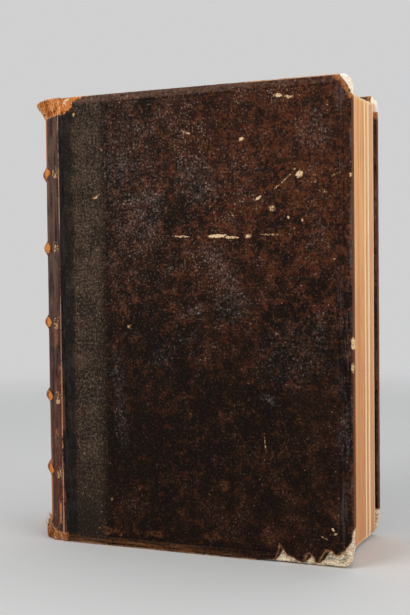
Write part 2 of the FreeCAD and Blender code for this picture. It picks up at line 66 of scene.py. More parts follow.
MM = 0.001
Array = np.ndarray
Colour = tuple[float, float, float, float]
Marks = Sequence[tuple[float, float, float, float, float, float]]
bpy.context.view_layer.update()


def srgb(red: float, green: float, blue: float) -> Colour:
    """Turn a colour as seen on a screen into a linear one.

    Args:
        red: Red, 0 to 255.
        green: Green, 0 to 255.
        blue: Blue, 0 to 255.

    Returns:
        The linear colour, with full alpha.
    """
    parts = []
    for part in (red, green, blue):
        share = part / 255
        parts.append(share / 12.92 if share <= 0.04045 else ((share + 0.055) / 1.055) ** 2.4)
    return parts[0], parts[1], parts[2], 1.0


def ease(value: Array, low: float, high: float) -> Array:
    """Rise smoothly from 0 at low to 1 at high: t times t times (3 minus 2t).

    Args:
        value: The values to look at.
        low: Where the rise starts; it may lie above high, and then it is a fall.
        high: Where the rise ends.

    Returns:
        The share of the rise at each value.
    """
    share = np.clip((np.asarray(value, float) - low) / (high - low), 0, 1)
    return share * share * (3 - 2 * share)


class Side(Enum):
    """The two covers, by the sign of their Y."""

    FRONT = -1
    BACK = 1


@dataclass(frozen=True)
class Sizes:
    """Where the parts of the book lie, in millimetres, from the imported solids' own boxes."""

    fore: float
    height: float = 360.0
    half: float = 51.0
    reach: float = 236.0
    leaf_side: float = 44.7
    radius: float = 55.909
    band_radius: float = 52.284
    bands: tuple[float, ...] = (55.6, 117.0, 178.4, 239.8, 301.2)
    hinge_out: float = 0.3

    @property
    def board(self) -> float:
        """The spine edge of the boards."""
        return self.fore - self.reach

    @property
    def ridge(self) -> float:
        """The ridge of the joint, where the spine's round ends."""
        return self.board - 3.0

    @property
    def crown(self) -> float:
        """The crown of the spine, without its bands."""
        return self.ridge - 33.0

    @property
    def axis(self) -> float:
        """The upright line that the spine is round about."""
        return self.crown + self.radius


SIZE = Sizes(fore=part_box("front_leather")[1].x / MM)


class Hills:
    """Smooth random hills on a plane.

    A table of random numbers is read at the four corners of the cell that a point lies in, and
    mixed by the smooth step of its place in the cell. Each further octave is half as wide and
    half as high.
    """

    SPAN = 128

    def __init__(self, seed: int) -> None:
        """Fill the table from this seed."""
        self.table = np.random.default_rng(seed).random((self.SPAN, self.SPAN)) * 2 - 1

    def at(self, across: Array, up: Array, pitch: float, octaves: int = 1,
           stretch: float = 1.0) -> Array:
        """Return heights from -1 to 1.

        Args:
            across: First coordinate.
            up: Second coordinate.
            pitch: Width of a hill.
            octaves: How many layers are added up.
            stretch: How many times longer a hill is along the second coordinate.

        Returns:
            One height for each point.
        """
        total = 0.0
        whole = 0.0
        across, up = np.broadcast_arrays(np.asarray(across, float), np.asarray(up, float))
        for octave in range(octaves):
            share = 0.5 ** octave
            a = across / (pitch * share) + 17.3 * octave
            b = up / (pitch * stretch * share) + 5.9 * octave
            i, j = np.floor(a).astype(int), np.floor(b).astype(int)
            fa, fb = a - i, b - j
            fa, fb = fa * fa * (3 - 2 * fa), fb * fb * (3 - 2 * fb)
            i0, i1, j0, j1 = i % self.SPAN, (i + 1) % self.SPAN, j % self.SPAN, (j + 1) % self.SPAN
            low = self.table[i0, j0] * (1 - fa) + self.table[i1, j0] * fa
            high = self.table[i0, j1] * (1 - fa) + self.table[i1, j1] * fa
            total = total + share * (low * (1 - fb) + high * fb)
            whole += share
        return total / whole


def graded(start: float, stop: float, coarse: float,
           marks: Iterable[tuple[float, float, float]] = ()) -> Array:
    """Place grid lines closer together near some marks.

    The density is 1 / coarse, plus a bell curve at each mark; lines lie where its running sum
    passes equal steps.

    Args:
        start: First line.
        stop: Last line.
        coarse: Spacing away from the marks.
        marks: Place, spacing there and half-width of each bell.

    Returns:
        The places of the lines.
    """
    sample = np.linspace(start, stop, 4000)
    density = np.full_like(sample, 1 / coarse)
    for place, fine, width in marks:
        density += (1 / fine - 1 / coarse) * np.exp(-((sample - place) / width) ** 2)
    running = np.concatenate([[0], np.cumsum((density[1:] + density[:-1]) / 2 * np.diff(sample))])
    count = int(math.ceil(running[-1]))
    return np.interp(np.linspace(0, running[-1], count + 1), running, sample)


def distance_to(points: Array, line: Array) -> Array:
    """Return each point's distance from a line of straight runs.

    The nearest point of a run is its start plus the run times the share that the point falls on,
    held between 0 and 1.
    """
    best = np.full(len(points), 1e9)
    for start, stop in zip(line[:-1], line[1:]):
        run = stop - start
        share = np.clip((points - start) @ run / max(run @ run, 1e-9), 0, 1)
        best = np.minimum(best, np.linalg.norm(points - start - share[:, None] * run, axis=1))
    return best


def along(line: Array, shares: Array, lean: float, snap: bool = False) -> Array:
    """Place points along a line of straight runs, at these shares of its measure.

    A run's measure is its step in the first coordinate plus lean times its step in the second.

    Args:
        line: The corners of the line.
        shares: Where the points lie, from 0 to 1.
        lean: Weight of the second coordinate.
        snap: Whether the point nearest to a corner moves onto it.

    Returns:
        The points.
    """
    step = np.abs(np.diff(line[:, 0])) + lean * np.abs(np.diff(line[:, 1]))
    running = np.concatenate([[0], np.cumsum(step)])
    wanted = shares * running[-1]
    if snap:
        nearest = np.abs(wanted[:, None] - running[None, 1:-1]).argmin(0)
        wanted[nearest] = running[1:-1]
    return np.stack([np.interp(wanted, running, line[:, k]) for k in range(2)], -1)


@dataclass
class Skin:
    """A closed surface, with what its points know of their place on the book."""

    points: Array
    faces: list[list[int]]
    values: dict[str, Array] = field(default_factory=dict)

    def piece(self, name: str, material: bpy.types.Material, sharp: float = 50.0) -> bpy.types.Object:
        """Make the mesh and its object, faces outwards, at the origin.

        Args:
            name: The piece's name.
            material: Its finish.
            sharp: Angle in degrees above which an edge stays sharp.

        Returns:
            The object, linked to the scene.
        """
        mesh = bpy.data.meshes.new(name)
        mesh.from_pydata((self.points * MM).tolist(), [], self.faces)
        for label, value in self.values.items():
            layer = mesh.attributes.new(label, "FLOAT", "POINT")
            layer.data.foreach_set("value", np.asarray(value, np.float32))
        work = bmesh.new()
        work.from_mesh(mesh)
        bmesh.ops.recalc_face_normals(work, faces=work.faces)
        work.to_mesh(mesh)
        work.free()
        mesh.polygons.foreach_set("use_smooth", np.ones(len(mesh.polygons), bool))
        mesh.set_sharp_from_angle(angle=math.radians(sharp))
        mesh.materials.append(material)
        piece = bpy.data.objects.new(name, mesh)
        bpy.context.scene.collection.objects.link(piece)
        log.info("%s: %d faces", name, len(mesh.polygons))
        return piece


def lattice(across: int, through: int, up: int) -> tuple[Array, list[list[int]]]:
    """List the points and quads on the outside of a block of points.

    Args:
        across: Number of points along the first direction.
        through: Number along the second.
        up: Number along the third.

    Returns:
        The points' own whole-number places, and the quads.
    """
    ids = -np.ones((across, through, up), int)
    place = np.indices(ids.shape)
    last = np.array(ids.shape).reshape(3, 1, 1, 1) - 1
    outside = ((place == 0) | (place == last)).any(0)
    ids[outside] = np.arange(outside.sum())
    quads = []
    for sheet in (ids[0], ids[-1], ids[:, 0], ids[:, -1], ids[:, :, 0], ids[:, :, -1]):
        quads.append(np.stack([sheet[:-1, :-1], sheet[1:, :-1], sheet[1:, 1:], sheet[:-1, 1:]],
                              -1).reshape(-1, 4))
    return place[:, outside].T, np.concatenate(quads).tolist()


def thick_sheet(outer: Array, inner: Array) -> tuple[Array, list[list[int]], Array]:
    """Close the room between two grids of points into one skin.

    Args:
        outer: The outer surface, rows by columns by 3.
        inner: The inner surface, of the same shape.

    Returns:
        The points, the quads, and for each point its row and column.
    """
    place, quads = lattice(outer.shape[0], 2, outer.shape[1])
    pick = np.where(place[:, 1:2] == 1, outer[place[:, 0], place[:, 2]],
                    inner[place[:, 0], place[:, 2]])
    return pick, quads, place[:, ::2]


Value = Union["Wire", float]


class Wire:
    """A value in a material that takes part in sums: each operator adds its Math node."""

    def __init__(self, finish: "Finish", socket: bpy.types.NodeSocket) -> None:
        """Hold a socket of this finish's material."""
        self.finish = finish
        self.socket = socket

    def _math(self, kind: str, first: Value, second: Value = 0.0) -> "Wire":
        """Add a Math node of this kind."""
        return self.finish.node("ShaderNodeMath", {"operation": kind}, {0: first, 1: second})

    def __add__(self, other: Value) -> "Wire":
        """Add."""
        return self._math("ADD", self, other)

    def __radd__(self, other: Value) -> "Wire":
        """Add, from the right."""
        return self._math("ADD", other, self)

    def __sub__(self, other: Value) -> "Wire":
        """Take away."""
        return self._math("SUBTRACT", self, other)

    def __rsub__(self, other: Value) -> "Wire":
        """Take this away from the other."""
        return self._math("SUBTRACT", other, self)

    def __mul__(self, other: Value) -> "Wire":
        """Multiply."""
        return self._math("MULTIPLY", self, other)

    def __rmul__(self, other: Value) -> "Wire":
        """Multiply, from the right."""
        return self._math("MULTIPLY", other, self)

    def __abs__(self) -> "Wire":
        """Take the size, without its sign."""
        return self._math("ABSOLUTE", self)

    def least(self, other: Value) -> "Wire":
        """Return the smaller of the two."""
        return self._math("MINIMUM", self, other)

    def most(self, other: Value) -> "Wire":
        """Return the larger of the two."""
        return self._math("MAXIMUM", self, other)

    def rise(self, low: float, high: float, top: float = 1.0) -> "Wire":
        """Rise smoothly from 0 at low to top at high; low may lie above high."""
        start, stop, first, last = (low, high, 0.0, top) if low < high else (high, low, top, 0.0)
        return self.finish.node("ShaderNodeMapRange", {"interpolation_type": "SMOOTHSTEP"},
                                {0: self, 1: start, 2: stop, 3: first, 4: last})


class Finish:
    """One material, built node by node on coordinates in millimetres."""

    def __init__(self, name: str) -> None:
        """Start a material with one shader."""
        self.material = bpy.data.materials.new(name)
        self.material.use_nodes = True
        self.tree = self.material.node_tree
        self.tree.nodes.clear()
        self.output = self.tree.nodes.new("ShaderNodeOutputMaterial")
        self.shader = self.tree.nodes.new("ShaderNodeBsdfPrincipled")
        self.tree.links.new(self.shader.outputs[0], self.output.inputs[0])
        place = self.node("ShaderNodeTexCoord", {}, {}, "Object")
        self.place = self.node("ShaderNodeMapping", {"vector_type": "POINT"},
                               {"Vector": place, "Scale": (1 / MM, 1 / MM, 1 / MM)})
        self.x = self.node("ShaderNodeSeparateXYZ", {}, {0: self.place}, 0)
        self.y = Wire(self, self.x.socket.node.outputs[1])
        self.z = Wire(self, self.x.socket.node.outputs[2])

    def node(self, kind: str, settings: dict, inputs: dict, output: Union[int, str] = 0) -> Wire:
        """Add a node.

        Args:
            kind: Blender's type of the node.
            settings: Its properties, set first.
            inputs: A number, a tuple or a wire for each socket, by name or place.
            output: The socket that the wire returned leaves from.

        Returns:
            That wire.
        """
        made = self.tree.nodes.new(kind)
        for key, setting in settings.items():
            setattr(made, key, setting)
        for key, value in inputs.items():
            if isinstance(value, Wire):
                self.tree.links.new(value.socket, made.inputs[key])
            else:
                made.inputs[key].default_value = value
        return Wire(self, made.outputs[output])

    def value(self, label: str) -> Wire:
        """Read a value that the mesh's points carry."""
        return self.node("ShaderNodeAttribute", {"attribute_name": label}, {}, "Fac")

    def noise(self, pitch: float, detail: float = 2.0, rough: float = 0.5,
              stretch: Sequence[float] = (1, 1, 1), shift: float = 0.0, wander: float = 0.0) -> Wire:
        """Add noise from 0 to 1, with hills pitch millimetres wide, drawn out by stretch."""
        place = self.node("ShaderNodeMapping", {"vector_type": "POINT"},
                          {"Vector": self.place, "Location": (shift, shift * 0.7, shift * 1.3),
                           "Scale": tuple(1 / (pitch * s) for s in stretch)})
        return self.node("ShaderNodeTexNoise", {},
                         {"Vector": place, "Scale": 1.0, "Detail": detail, "Roughness": rough,
                          "Distortion": wander})

    def blots(self, marks: "Marks", ragged: float = 1.3) -> Wire:
        """Return the share of a set of oval patches with ragged outlines.

        Args:
            marks: Middle across and up, half-length, half-width, degrees that the patch rises
                to the fore-edge, and its share.
            ragged: How far the outlines wander, in millimetres.

        Returns:
            The largest share of any patch at each place.
        """
        wild = self.node("ShaderNodeTexNoise", {}, {"Vector": self.place, "Scale": 0.7,
                                                    "Detail": 4.0, "Roughness": 0.7}, 1)
        moved = self.node("ShaderNodeVectorMath", {"operation": "MULTIPLY_ADD"},
                          {0: wild, 1: (ragged * 2, 0, ragged * 2), 2: self.place})
        total: Value = 0.0
        for x, z, wide, tall, turn, share in marks:
            oval = self.node("ShaderNodeMapping", {"vector_type": "TEXTURE"},
                             {"Vector": moved, "Location": (x + ragged, 0, z + ragged),
                              "Rotation": (0, -math.radians(turn), 0), "Scale": (wide, 1e4, tall)})
            length = self.node("ShaderNodeVectorMath", {"operation": "LENGTH"}, {0: oval}, 1)
            total = length.rise(1.3, 0.6, share).most(total)
        return total

    def mix(self, share: Value, first: Union[Wire, Colour], second: Union[Wire, Colour]) -> Wire:
        """Mix two colours, by a share of the second."""
        return self.node("ShaderNodeMix", {"data_type": "RGBA"}, {0: share, 6: first, 7: second}, 2)

    def dress(self, colour: Union[Wire, Colour], rough: Value, relief: Value = 0.0,
              depth: float = 0.3, sheen: float = 0.0, level: float = 0.5) -> bpy.types.Material:
        """Join the shader's sockets up.

        Args:
            colour: Base colour.
            rough: Roughness.
            relief: Height for the bump, 0 to 1.
            depth: Height of the bump, in millimetres.
            sheen: Weight of the sheen.
            level: Specular level.

        Returns:
            The finished material.
        """
        for key, value in (("Base Color", colour), ("Roughness", rough)):
            if isinstance(value, Wire):
                self.tree.links.new(value.socket, self.shader.inputs[key])
            else:
                self.shader.inputs[key].default_value = value
        if isinstance(relief, Wire):
            bump = self.node("ShaderNodeBump", {},
                             {"Height": relief, "Distance": depth * MM, "Strength": 1.0})
            self.tree.links.new(bump.socket, self.shader.inputs["Normal"])
        self.shader.inputs["Sheen Weight"].default_value = sheen
        self.shader.inputs["Specular IOR Level"].default_value = level
        return self.material


@dataclass(frozen=True)
class CoverFinish:
    """Old polished calf on a cover: mottled, scuffed, worn pale along its edges, with painted sheen and highlights,
    and painted shade in the joint's groove.
    """

    name: str
    shift: float
    scratches: Marks
    dark: Colour = srgb(22, 13, 9)
    brown: Colour = srgb(52, 28, 17)
    rust: Colour = srgb(96, 49, 24)
    # Grey of the painted sheen.
    sheen_grey: Colour = srgb(88, 80, 74)
    ink: Colour = srgb(12, 9, 9)
    # Near black of the joint's groove: partly the leather's own dark, partly painted shade of the groove.
    joint: Colour = srgb(19, 19, 19)
    tan: Colour = srgb(146, 96, 60)
    pale: Colour = srgb(232, 198, 152)

    def build(self) -> bpy.types.Material:
        """Build the material.

        Returns:
            The material, which reads the values of the cover's mesh.
        """
        f = Finish(self.name)
        edge, torn, lip, line = (f.value(label) for label in ("edge", "torn", "lip", "line"))
        wide = f.noise(64, 3, 0.55, shift=self.shift)
        patch = f.noise(19, 4, 0.62, shift=self.shift + 3)
        mottle = f.noise(7, 4, 0.66, shift=self.shift + 5)
        grain = f.noise(2.3, 4, 0.7, shift=self.shift + 7)
        fine = f.noise(1.0, 3, 0.7, shift=self.shift + 9)
        fleck = f.noise(1.7, 4, 0.8, shift=self.shift + 11)
        upright = f.noise(1.6, 4, 0.65, (1, 1, 14), self.shift + 13)
        level = f.noise(1.3, 4, 0.65, (18, 1, 1), self.shift + 15)
        speckle = f.noise(1.5, 1.0, 0.5, shift=self.shift + 17)
        glint = f.noise(2.1, 0.5, 0.5, shift=self.shift + 19)
        # Towards the head the cover is drawn lighter and gets more of the painted sheen and highlights.
        high = f.z.rise(90, 290)
        right = f.x.rise(-30, 100)
        left = f.x.rise(40, -60)
        tone = wide * 0.35 + patch * 0.35 + mottle * 0.3 + high * right * 0.06 - (1 - high) * 0.03
        base = f.mix(tone.rise(0.42, 0.58) * (high * 0.4 + 0.6), self.dark, self.brown)
        rusty = mottle * 0.5 + grain * 0.35 + patch * 0.15 + high * right * 0.05
        base = f.mix(rusty.rise(0.505, 0.62) * (high * 0.45 + 0.24), base, self.rust)
        # Painted sheen: a grey mottle, strongest at the upper left, that stands for the leather's sheen.
        painted_sheen = patch * 0.3 + grain * 0.35 + speckle * 0.35 + high * left * 0.05
        base = f.mix(painted_sheen.rise(0.53, 0.66) * (high * 0.5 + 0.15), base, self.sheen_grey)
        base = f.mix((grain * 0.45 + fine * 0.55).rise(0.48, 0.38, 0.75), base, self.ink)
        # Fine grain contrast: the dark flecks are partly the grain's own tone, and the light flecks are painted
        # grain highlights.
        crisp = speckle * 0.6 + grain * 0.4
        base = f.mix(crisp.rise(0.52, 0.66) * (high * 0.25 + 0.15), base, srgb(104, 78, 58))
        base = f.mix(crisp.rise(0.46, 0.36, 0.7), base, self.ink)
        # Painted highlights: grey specks and pale glints that stand for the sheen on the grain.
        speck_highlight = (speckle + patch * 0.6 + wide * 0.3).rise(1.14, 1.28) * (high * 0.6 + 0.15)
        base = f.mix(speck_highlight, base, srgb(142, 126, 110))
        base = f.mix((glint + mottle * 0.4).rise(0.96, 1.04) * (high * 0.5 + 0.3), base, srgb(176, 156, 134))
        dust = f.value("dust")
        base = f.mix(dust * grain.rise(0.42, 0.6, 0.4), base, srgb(92, 86, 82))
        base = f.mix(dust * (speckle * 0.6 + grain * 0.4).rise(0.57, 0.68, 0.9), base, srgb(146, 136, 126))
        # The joint's groove is drawn near black: partly the leather's own dark, partly painted shade, since the
        # groove itself is shallow.
        groove = (f.x + patch * 3).rise(SIZE.board + 12.5, SIZE.board + 8.5, 0.85)
        base = f.mix(groove, base, self.joint)
        base = f.mix(groove * (patch * 0.6 + upright * 0.4).rise(0.5, 0.64, 0.5), base, srgb(56, 56, 58))
        strip = (f.x + patch * 12 + upright * 5).rise(SIZE.board + 49, SIZE.board + 38) * (1 - groove)
        base = f.mix(strip * 0.6, base, srgb(44, 36, 30))
        cloudy = strip * f.z.rise(10, 90) * (patch * 0.45 + upright * 0.25 + grain * 0.3).rise(0.43, 0.58, 0.7)
        base = f.mix(cloudy, base, srgb(76, 59, 46))
        # The same on the strip by the joint: its light flecks are painted grain highlights.
        base = f.mix(strip * crisp.rise(0.5, 0.62) * (f.z.rise(10, 90) * 0.35 + 0.1), base, srgb(112, 92, 72))
        base = f.mix(strip * crisp.rise(0.5, 0.4, 0.6), base, srgb(30, 24, 21))
        # Painted glints on the strip by the joint.
        base = f.mix(strip * (glint + patch * 0.3).rise(0.86, 0.96, 0.6), base, srgb(160, 138, 112))
        seam = abs(f.x - (SIZE.board + 37.5)).rise(6.5, 1.5) * (upright * 0.6 + patch * 0.4).rise(0.42, 0.58, 0.5)
        base = f.mix(seam, base, self.ink)
        head = (SIZE.height - f.z + level * 4).rise(9.5, 6.5) * f.x.rise(110, 10, 0.35)
        head = head + (SIZE.height - f.z + level * 4).rise(9.5, 6.5, 0.22)
        base = f.mix(head * (grain * 0.6 + level * 0.4).rise(0.34, 0.58), base, srgb(122, 92, 75))
        side = (SIZE.fore - f.x + upright * 4).rise(17, 11, 0.6)
        base = f.mix(side * (upright * 0.7 + patch * 0.3).rise(0.52, 0.62, 0.8), base, srgb(76, 72, 76))
        base = f.mix(side * upright.rise(0.46, 0.36, 0.8), base, self.ink)
        border = (SIZE.fore - f.x + upright * 3).rise(5.0, 3.0, 0.55)
        base = f.mix(border * (upright * 0.6 + grain * 0.4).rise(0.42, 0.6), base, srgb(112, 90, 78))
        foot = (f.z + level * 8 + patch * 6).rise(16.5, 8.5) * f.x.rise(90, -10, 0.85)
        base = f.mix(foot * (level * 0.65 + grain * 0.35).rise(0.4, 0.58, 0.95), base, srgb(112, 70, 40))
        base = f.mix(foot * level.rise(0.57, 0.66, 0.7), base, srgb(160, 112, 74))
        base = f.mix((edge + grain * 2.4).rise(2.6, 1.1, 0.6), base, srgb(112, 70, 44))
        outer = (SIZE.fore - f.x + upright * 2).rise(2.4, 1.4) * (f.z.rise(330, 60, 0.4) + 0.25)
        base = f.mix(outer, base, srgb(122, 70, 42))
        rubbed = fleck * 0.5 + grain * 0.5
        rust = f.value("rust")
        base = f.mix(rust * rubbed.rise(0.42, 0.6, 0.75), base, srgb(124, 74, 46))
        fox = rust.rise(0.8, 0.95) * f.z.rise(330, 340)
        base = f.mix(fox * (rubbed * 0.7 + upright * 0.3).rise(0.36, 0.52), base, srgb(206, 120, 52))
        base = f.mix(fox * (speckle * 0.5 + grain * 0.5).rise(0.54, 0.64, 0.8), base, srgb(240, 204, 170))
        crown = f.z.rise(200, 320)
        ragged = torn + mottle * 9 + fleck * 5 - 7.4 - crown * 2.6
        fibrous = (fleck * 0.5 + grain * 0.5).rise(0.4, 0.54)
        base = f.mix(ragged.rise(2.0, 0.4) * fibrous * (crown * 0.6 + 0.35), base, self.tan)
        ragged = torn + mottle * 7 + grain * 8 - 7.6 - crown * 1.8
        base = f.mix(ragged.rise(1.6, 0.4) * fibrous * (crown * 0.7 + 0.12), base, srgb(184, 116, 64))
        rim = (edge + fine * 0.8).rise(1.9, 0.9)
        worn = f.x.rise(SIZE.fore - 100, SIZE.fore - 70) + f.x.rise(-62, -78)
        worn = worn * f.z.rise(350, 358) + f.z.rise(2.5, 1.2) * f.x.rise(90, 60)
        base = f.mix(rim * worn * (grain * 0.4 + level * 0.6).rise(0.42, 0.52, 0.9), base, srgb(226, 172, 128))
        rubs = f.blots(self.scratches).most(f.value("spot"))
        core = rubs.rise(0.02, 0.2) * (rubs * 1.1 + (speckle * 0.5 + fleck * 0.5 - 0.5) * 2.2)
        base = f.mix(core.rise(0.35, 0.6, 0.55), base, srgb(140, 96, 62))
        base = f.mix(core.rise(0.6, 1.0, 0.95), base, self.pale)
        ends = f.mix((grain * 0.5 + level * 0.5).rise(0.44, 0.56), srgb(88, 61, 42), srgb(180, 144, 106))
        base = f.mix((lip + grain * 0.8).rise(0.95, 0.55, 0.9), base, ends)
        base = f.mix(line * (patch * 0.5 + grain * 0.5).rise(0.56, 0.44, 0.6), base, self.ink)
        rough = 0.46 + grain * 0.22 + head * 0.1
        relief = grain * 0.5 + fine * 0.3 + mottle * 0.3 - line * 0.5
        return f.dress(base, rough, relief, 0.45, 0.0, 0.05)


@dataclass(frozen=True)
class SpineFinish:
    """The leather of the spine: purplish brown, rubbed to orange on the bands and the caps."""

    name: str = "spine calf"
    dark: Colour = srgb(40, 27, 25)
    plum: Colour = srgb(84, 55, 45)
    orange: Colour = srgb(212, 126, 54)
    rust: Colour = srgb(122, 58, 26)
    peach: Colour = srgb(240, 196, 156)
    black: Colour = srgb(17, 15, 17)

    def build(self) -> bpy.types.Material:
        """Build the material.

        Returns:
            The material, which reads the values cap, band, arc and ridge.
        """
        f = Finish(self.name)
        cap, band, arc, ridge = (f.value(label) for label in ("cap", "band", "arc", "ridge"))
        turn = abs(arc)
        around = f.node("ShaderNodeCombineXYZ", {}, {0: arc, 1: f.z * 0.045})
        streak = f.node("ShaderNodeTexNoise", {}, {"Vector": around, "Scale": 0.42, "Detail": 5.0,
                                                   "Roughness": 0.62})
        patch = f.noise(12, 4, 0.6, (1, 1, 2.0), 5)
        grain = f.noise(2.0, 5, 0.7, shift=8)
        fine = f.noise(0.8, 3, 0.7, shift=12)
        fibre = f.noise(1.1, 4, 0.7, (1, 1, 3.0), 21, 1.2)
        base = f.mix((streak * 0.65 + patch * 0.35).rise(0.42, 0.58), self.dark, self.plum)
        base = f.mix(abs(turn - 55).rise(6, 1.5) * streak.rise(0.4, 0.6, 0.5), base, srgb(120, 90, 78))
        base = f.mix((grain * 0.5 + streak * 0.5).rise(0.46, 0.34, 0.85), base, self.black)
        upper = f.z.rise(150, 210)
        blotch = f.noise(9, 4, 0.6, (1, 1, 2.4), 41)
        other = f.noise(7, 4, 0.6, (1, 1, 1.8), 47)
        base = f.mix(upper * blotch.rise(0.46, 0.6, 0.75), base, srgb(94, 74, 61))
        base = f.mix((1 - upper) * blotch.rise(0.48, 0.58, 0.8), base, srgb(84, 38, 25))
        base = f.mix((1 - upper * 0.6) * (other * 0.7 + grain * 0.3).rise(0.55, 0.63, 0.8), base, srgb(150, 94, 54))
        base = f.mix((1 - upper * 0.5) * other.rise(0.44, 0.34, 0.85), base, srgb(26, 17, 17))
        # Painted highlight flecks on the grain of the spine.
        base = f.mix((fine * 0.5 + grain * 0.5).rise(0.56, 0.66, 0.5), base, srgb(146, 116, 98))
        # Painted highlight: a pale streak beside each band.
        band_highlight = band.rise(0.1, 0.4) * abs(turn - 58).rise(5, 3) * (grain * 0.5 + other * 0.5).rise(0.5, 0.56)
        base = f.mix(band_highlight, base, srgb(222, 172, 122))
        limb = (turn + patch * 8 + grain * 4).rise(50, 45) * (streak * 0.5 + patch * 0.5).rise(0.4, 0.5, 0.9)
        limb = limb * (turn + patch * 20).rise(24, 44)
        base = f.mix(limb * (f.z.rise(270, 330) + f.z.rise(110, 50)), base, srgb(196, 116, 60))
        rubbed = band * 0.9 + turn.rise(56, 40, 0.75) + patch * 0.5 + grain * 0.3
        base = f.mix(rubbed.rise(1.5, 1.65), base, self.orange)
        heart = rubbed.rise(1.6, 1.78) * turn.rise(42, 36) * (grain * 0.4 + patch * 0.6).rise(0.6, 0.5, 0.95)
        base = f.mix(heart, base, srgb(104, 38, 20))
        base = f.mix(rubbed.rise(1.55, 1.7) * (fine * 0.4 + grain * 0.6).rise(0.54, 0.62, 0.8), base, srgb(240, 176, 108))
        broken = (streak * 0.2 + patch * 0.45 + grain * 0.35).rise(0.42, 0.56, 0.9)
        low = f.z.rise(190, 90)
        wave = abs(ridge - 1.3 + patch * (low * 2 + 1.2) - low - 0.6)
        base = f.mix(wave.rise(0.95, 0.3) * broken * abs(f.z - 228).rise(18, 34), base, srgb(170, 142, 118))
        base = f.mix(low * wave.rise(1.5, 0.7) * broken.rise(0.1, 0.5), base, srgb(182, 130, 102))
        base = f.mix(ridge.rise(0.8, 0.1, 0.8), base, self.black)
        stripe = abs(turn - 59.5 + patch * 2 - 1).rise(1.9, 0.9) * (abs(f.z - 23)).rise(11, 5, 0.9)
        base = f.mix(stripe * (patch * 0.5 + fine * 0.5).rise(0.4, 0.5), base, srgb(206, 128, 80))
        base = f.mix(low * (streak * 0.7 + patch * 0.3).rise(0.53, 0.6, 0.6), base, srgb(112, 58, 34))
        worn = cap + patch * 0.5 + grain * 0.4 - 0.45
        inside = worn.rise(0.36, 0.5)
        base = f.mix(inside, base, self.orange)
        base = f.mix(inside * (patch * 0.5 + fibre * 0.5).rise(0.51, 0.45, 0.85), base, self.rust)
        base = f.mix(inside * (fibre * 0.6 + patch * 0.4).rise(0.53, 0.58, 0.9), base, self.peach)
        base = f.mix(inside * (fibre * 0.5 + grain * 0.5).rise(0.46, 0.41, 0.9), base, srgb(46, 24, 16))
        base = f.mix(inside * f.z.rise(60, 20, 0.7) * fibre.rise(0.66, 0.48), base, srgb(88, 40, 18))
        base = f.mix((abs(worn - 0.4)).rise(0.07, 0.02, 0.7), base, srgb(214, 178, 148))
        rough = 0.48 + grain * 0.2 + inside * 0.2
        return f.dress(base, rough, grain * 0.4 + fine * 0.3 + streak * 0.4 + fibre * inside, 0.6, 0.0, 0.05)


def joint_finish() -> bpy.types.Material:
    """The leather in a joint: near black, partly its own dark and partly painted shade of the groove, streaked
    upright, rubbed to orange by the head cap.
    """
    f = Finish("joint leather")
    patch = f.noise(8, 5, 0.6, (1, 1, 4))
    grain = f.noise(1.6, 3, 0.7, (1, 1, 3), 4)
    # Near black: painted shade of the groove over the leather's own dark.
    base = f.mix((patch * 0.6 + grain * 0.4).rise(0.42, 0.62), srgb(15, 15, 15), srgb(46, 43, 42))
    near_head = (f.z + patch * 12).rise(350, 355)
    base = f.mix(near_head * grain.rise(0.38, 0.52), base, srgb(196, 116, 54))
    near_foot = (f.z + patch * 6).rise(12, 9)
    base = f.mix(near_foot * grain.rise(0.38, 0.52), base, srgb(126, 76, 42))
    return f.dress(base, 0.5, patch * 0.5 + grain * 0.5, 0.25, 0.0, 0.05)


def plain(name: str, first: Colour, second: Colour, pitch: float, stretch: Sequence[float],
          rough: float, depth: float) -> bpy.types.Material:
    """Make a material of two tones that run into each other, with a fine relief.

    Args:
        name: The material's name.
        first: The darker tone.
        second: The paler tone.
        pitch: Width of the patches.
        stretch: How they are drawn out along X, Y and Z.
        rough: Roughness.
        depth: Height of the relief.

    Returns:
        The material.
    """
    f = Finish(name)
    patch = f.noise(pitch, 5, 0.62, stretch)
    fine = f.noise(pitch / 7, 4, 0.7, stretch, 4)
    colour = f.mix((patch * 0.6 + fine * 0.4).rise(0.38, 0.62), first, second)
    return f.dress(colour, fine * 0.2 + rough, fine * 0.6 + patch * 0.4, depth, 0.0, 0.3)


def board_finish() -> bpy.types.Material:
    """Bare pasteboard: near white at the head, greyed and tanned by dirt at the foot."""
    f = Finish("bare pasteboard")
    torn, edge = f.value("torn"), f.value("edge")
    patch = f.noise(4.5, 5, 0.65)
    fine = f.noise(1.1, 4, 0.7, shift=5)
    flakes = f.noise(1.6, 4, 0.7, (2.5, 1, 1), 3, 0.8)
    low = f.z.rise(60, 30)
    white = f.mix((patch * 0.5 + fine * 0.5).rise(0.38, 0.55), srgb(232, 212, 184), srgb(254, 246, 228))
    cream = f.mix((flakes * 0.5 + fine * 0.5).rise(0.40, 0.58), srgb(176, 142, 108), srgb(244, 226, 196))
    colour = f.mix(low, white, cream)
    middle = (edge + patch * 6).rise(6.0, 9.0) * (torn + patch * 3).rise(1.8, 3.6)
    colour = f.mix(low * middle * (flakes * 0.5 + patch * 0.5).rise(0.6, 0.44, 0.85), colour, srgb(118, 112, 94))
    tanned = (torn + flakes * 5 - 2.2).rise(2.2, 0.4, 0.85) * low * (edge + patch * 5).rise(4, 7.5)
    colour = f.mix(tanned, colour, srgb(160, 108, 66))
    colour = f.mix(flakes.rise(0.42, 0.33, 0.8) * low, colour, srgb(86, 68, 48))
    return f.dress(colour, 0.82, fine * 0.5 + flakes * 0.6, 0.6, 0.0, 0.25)


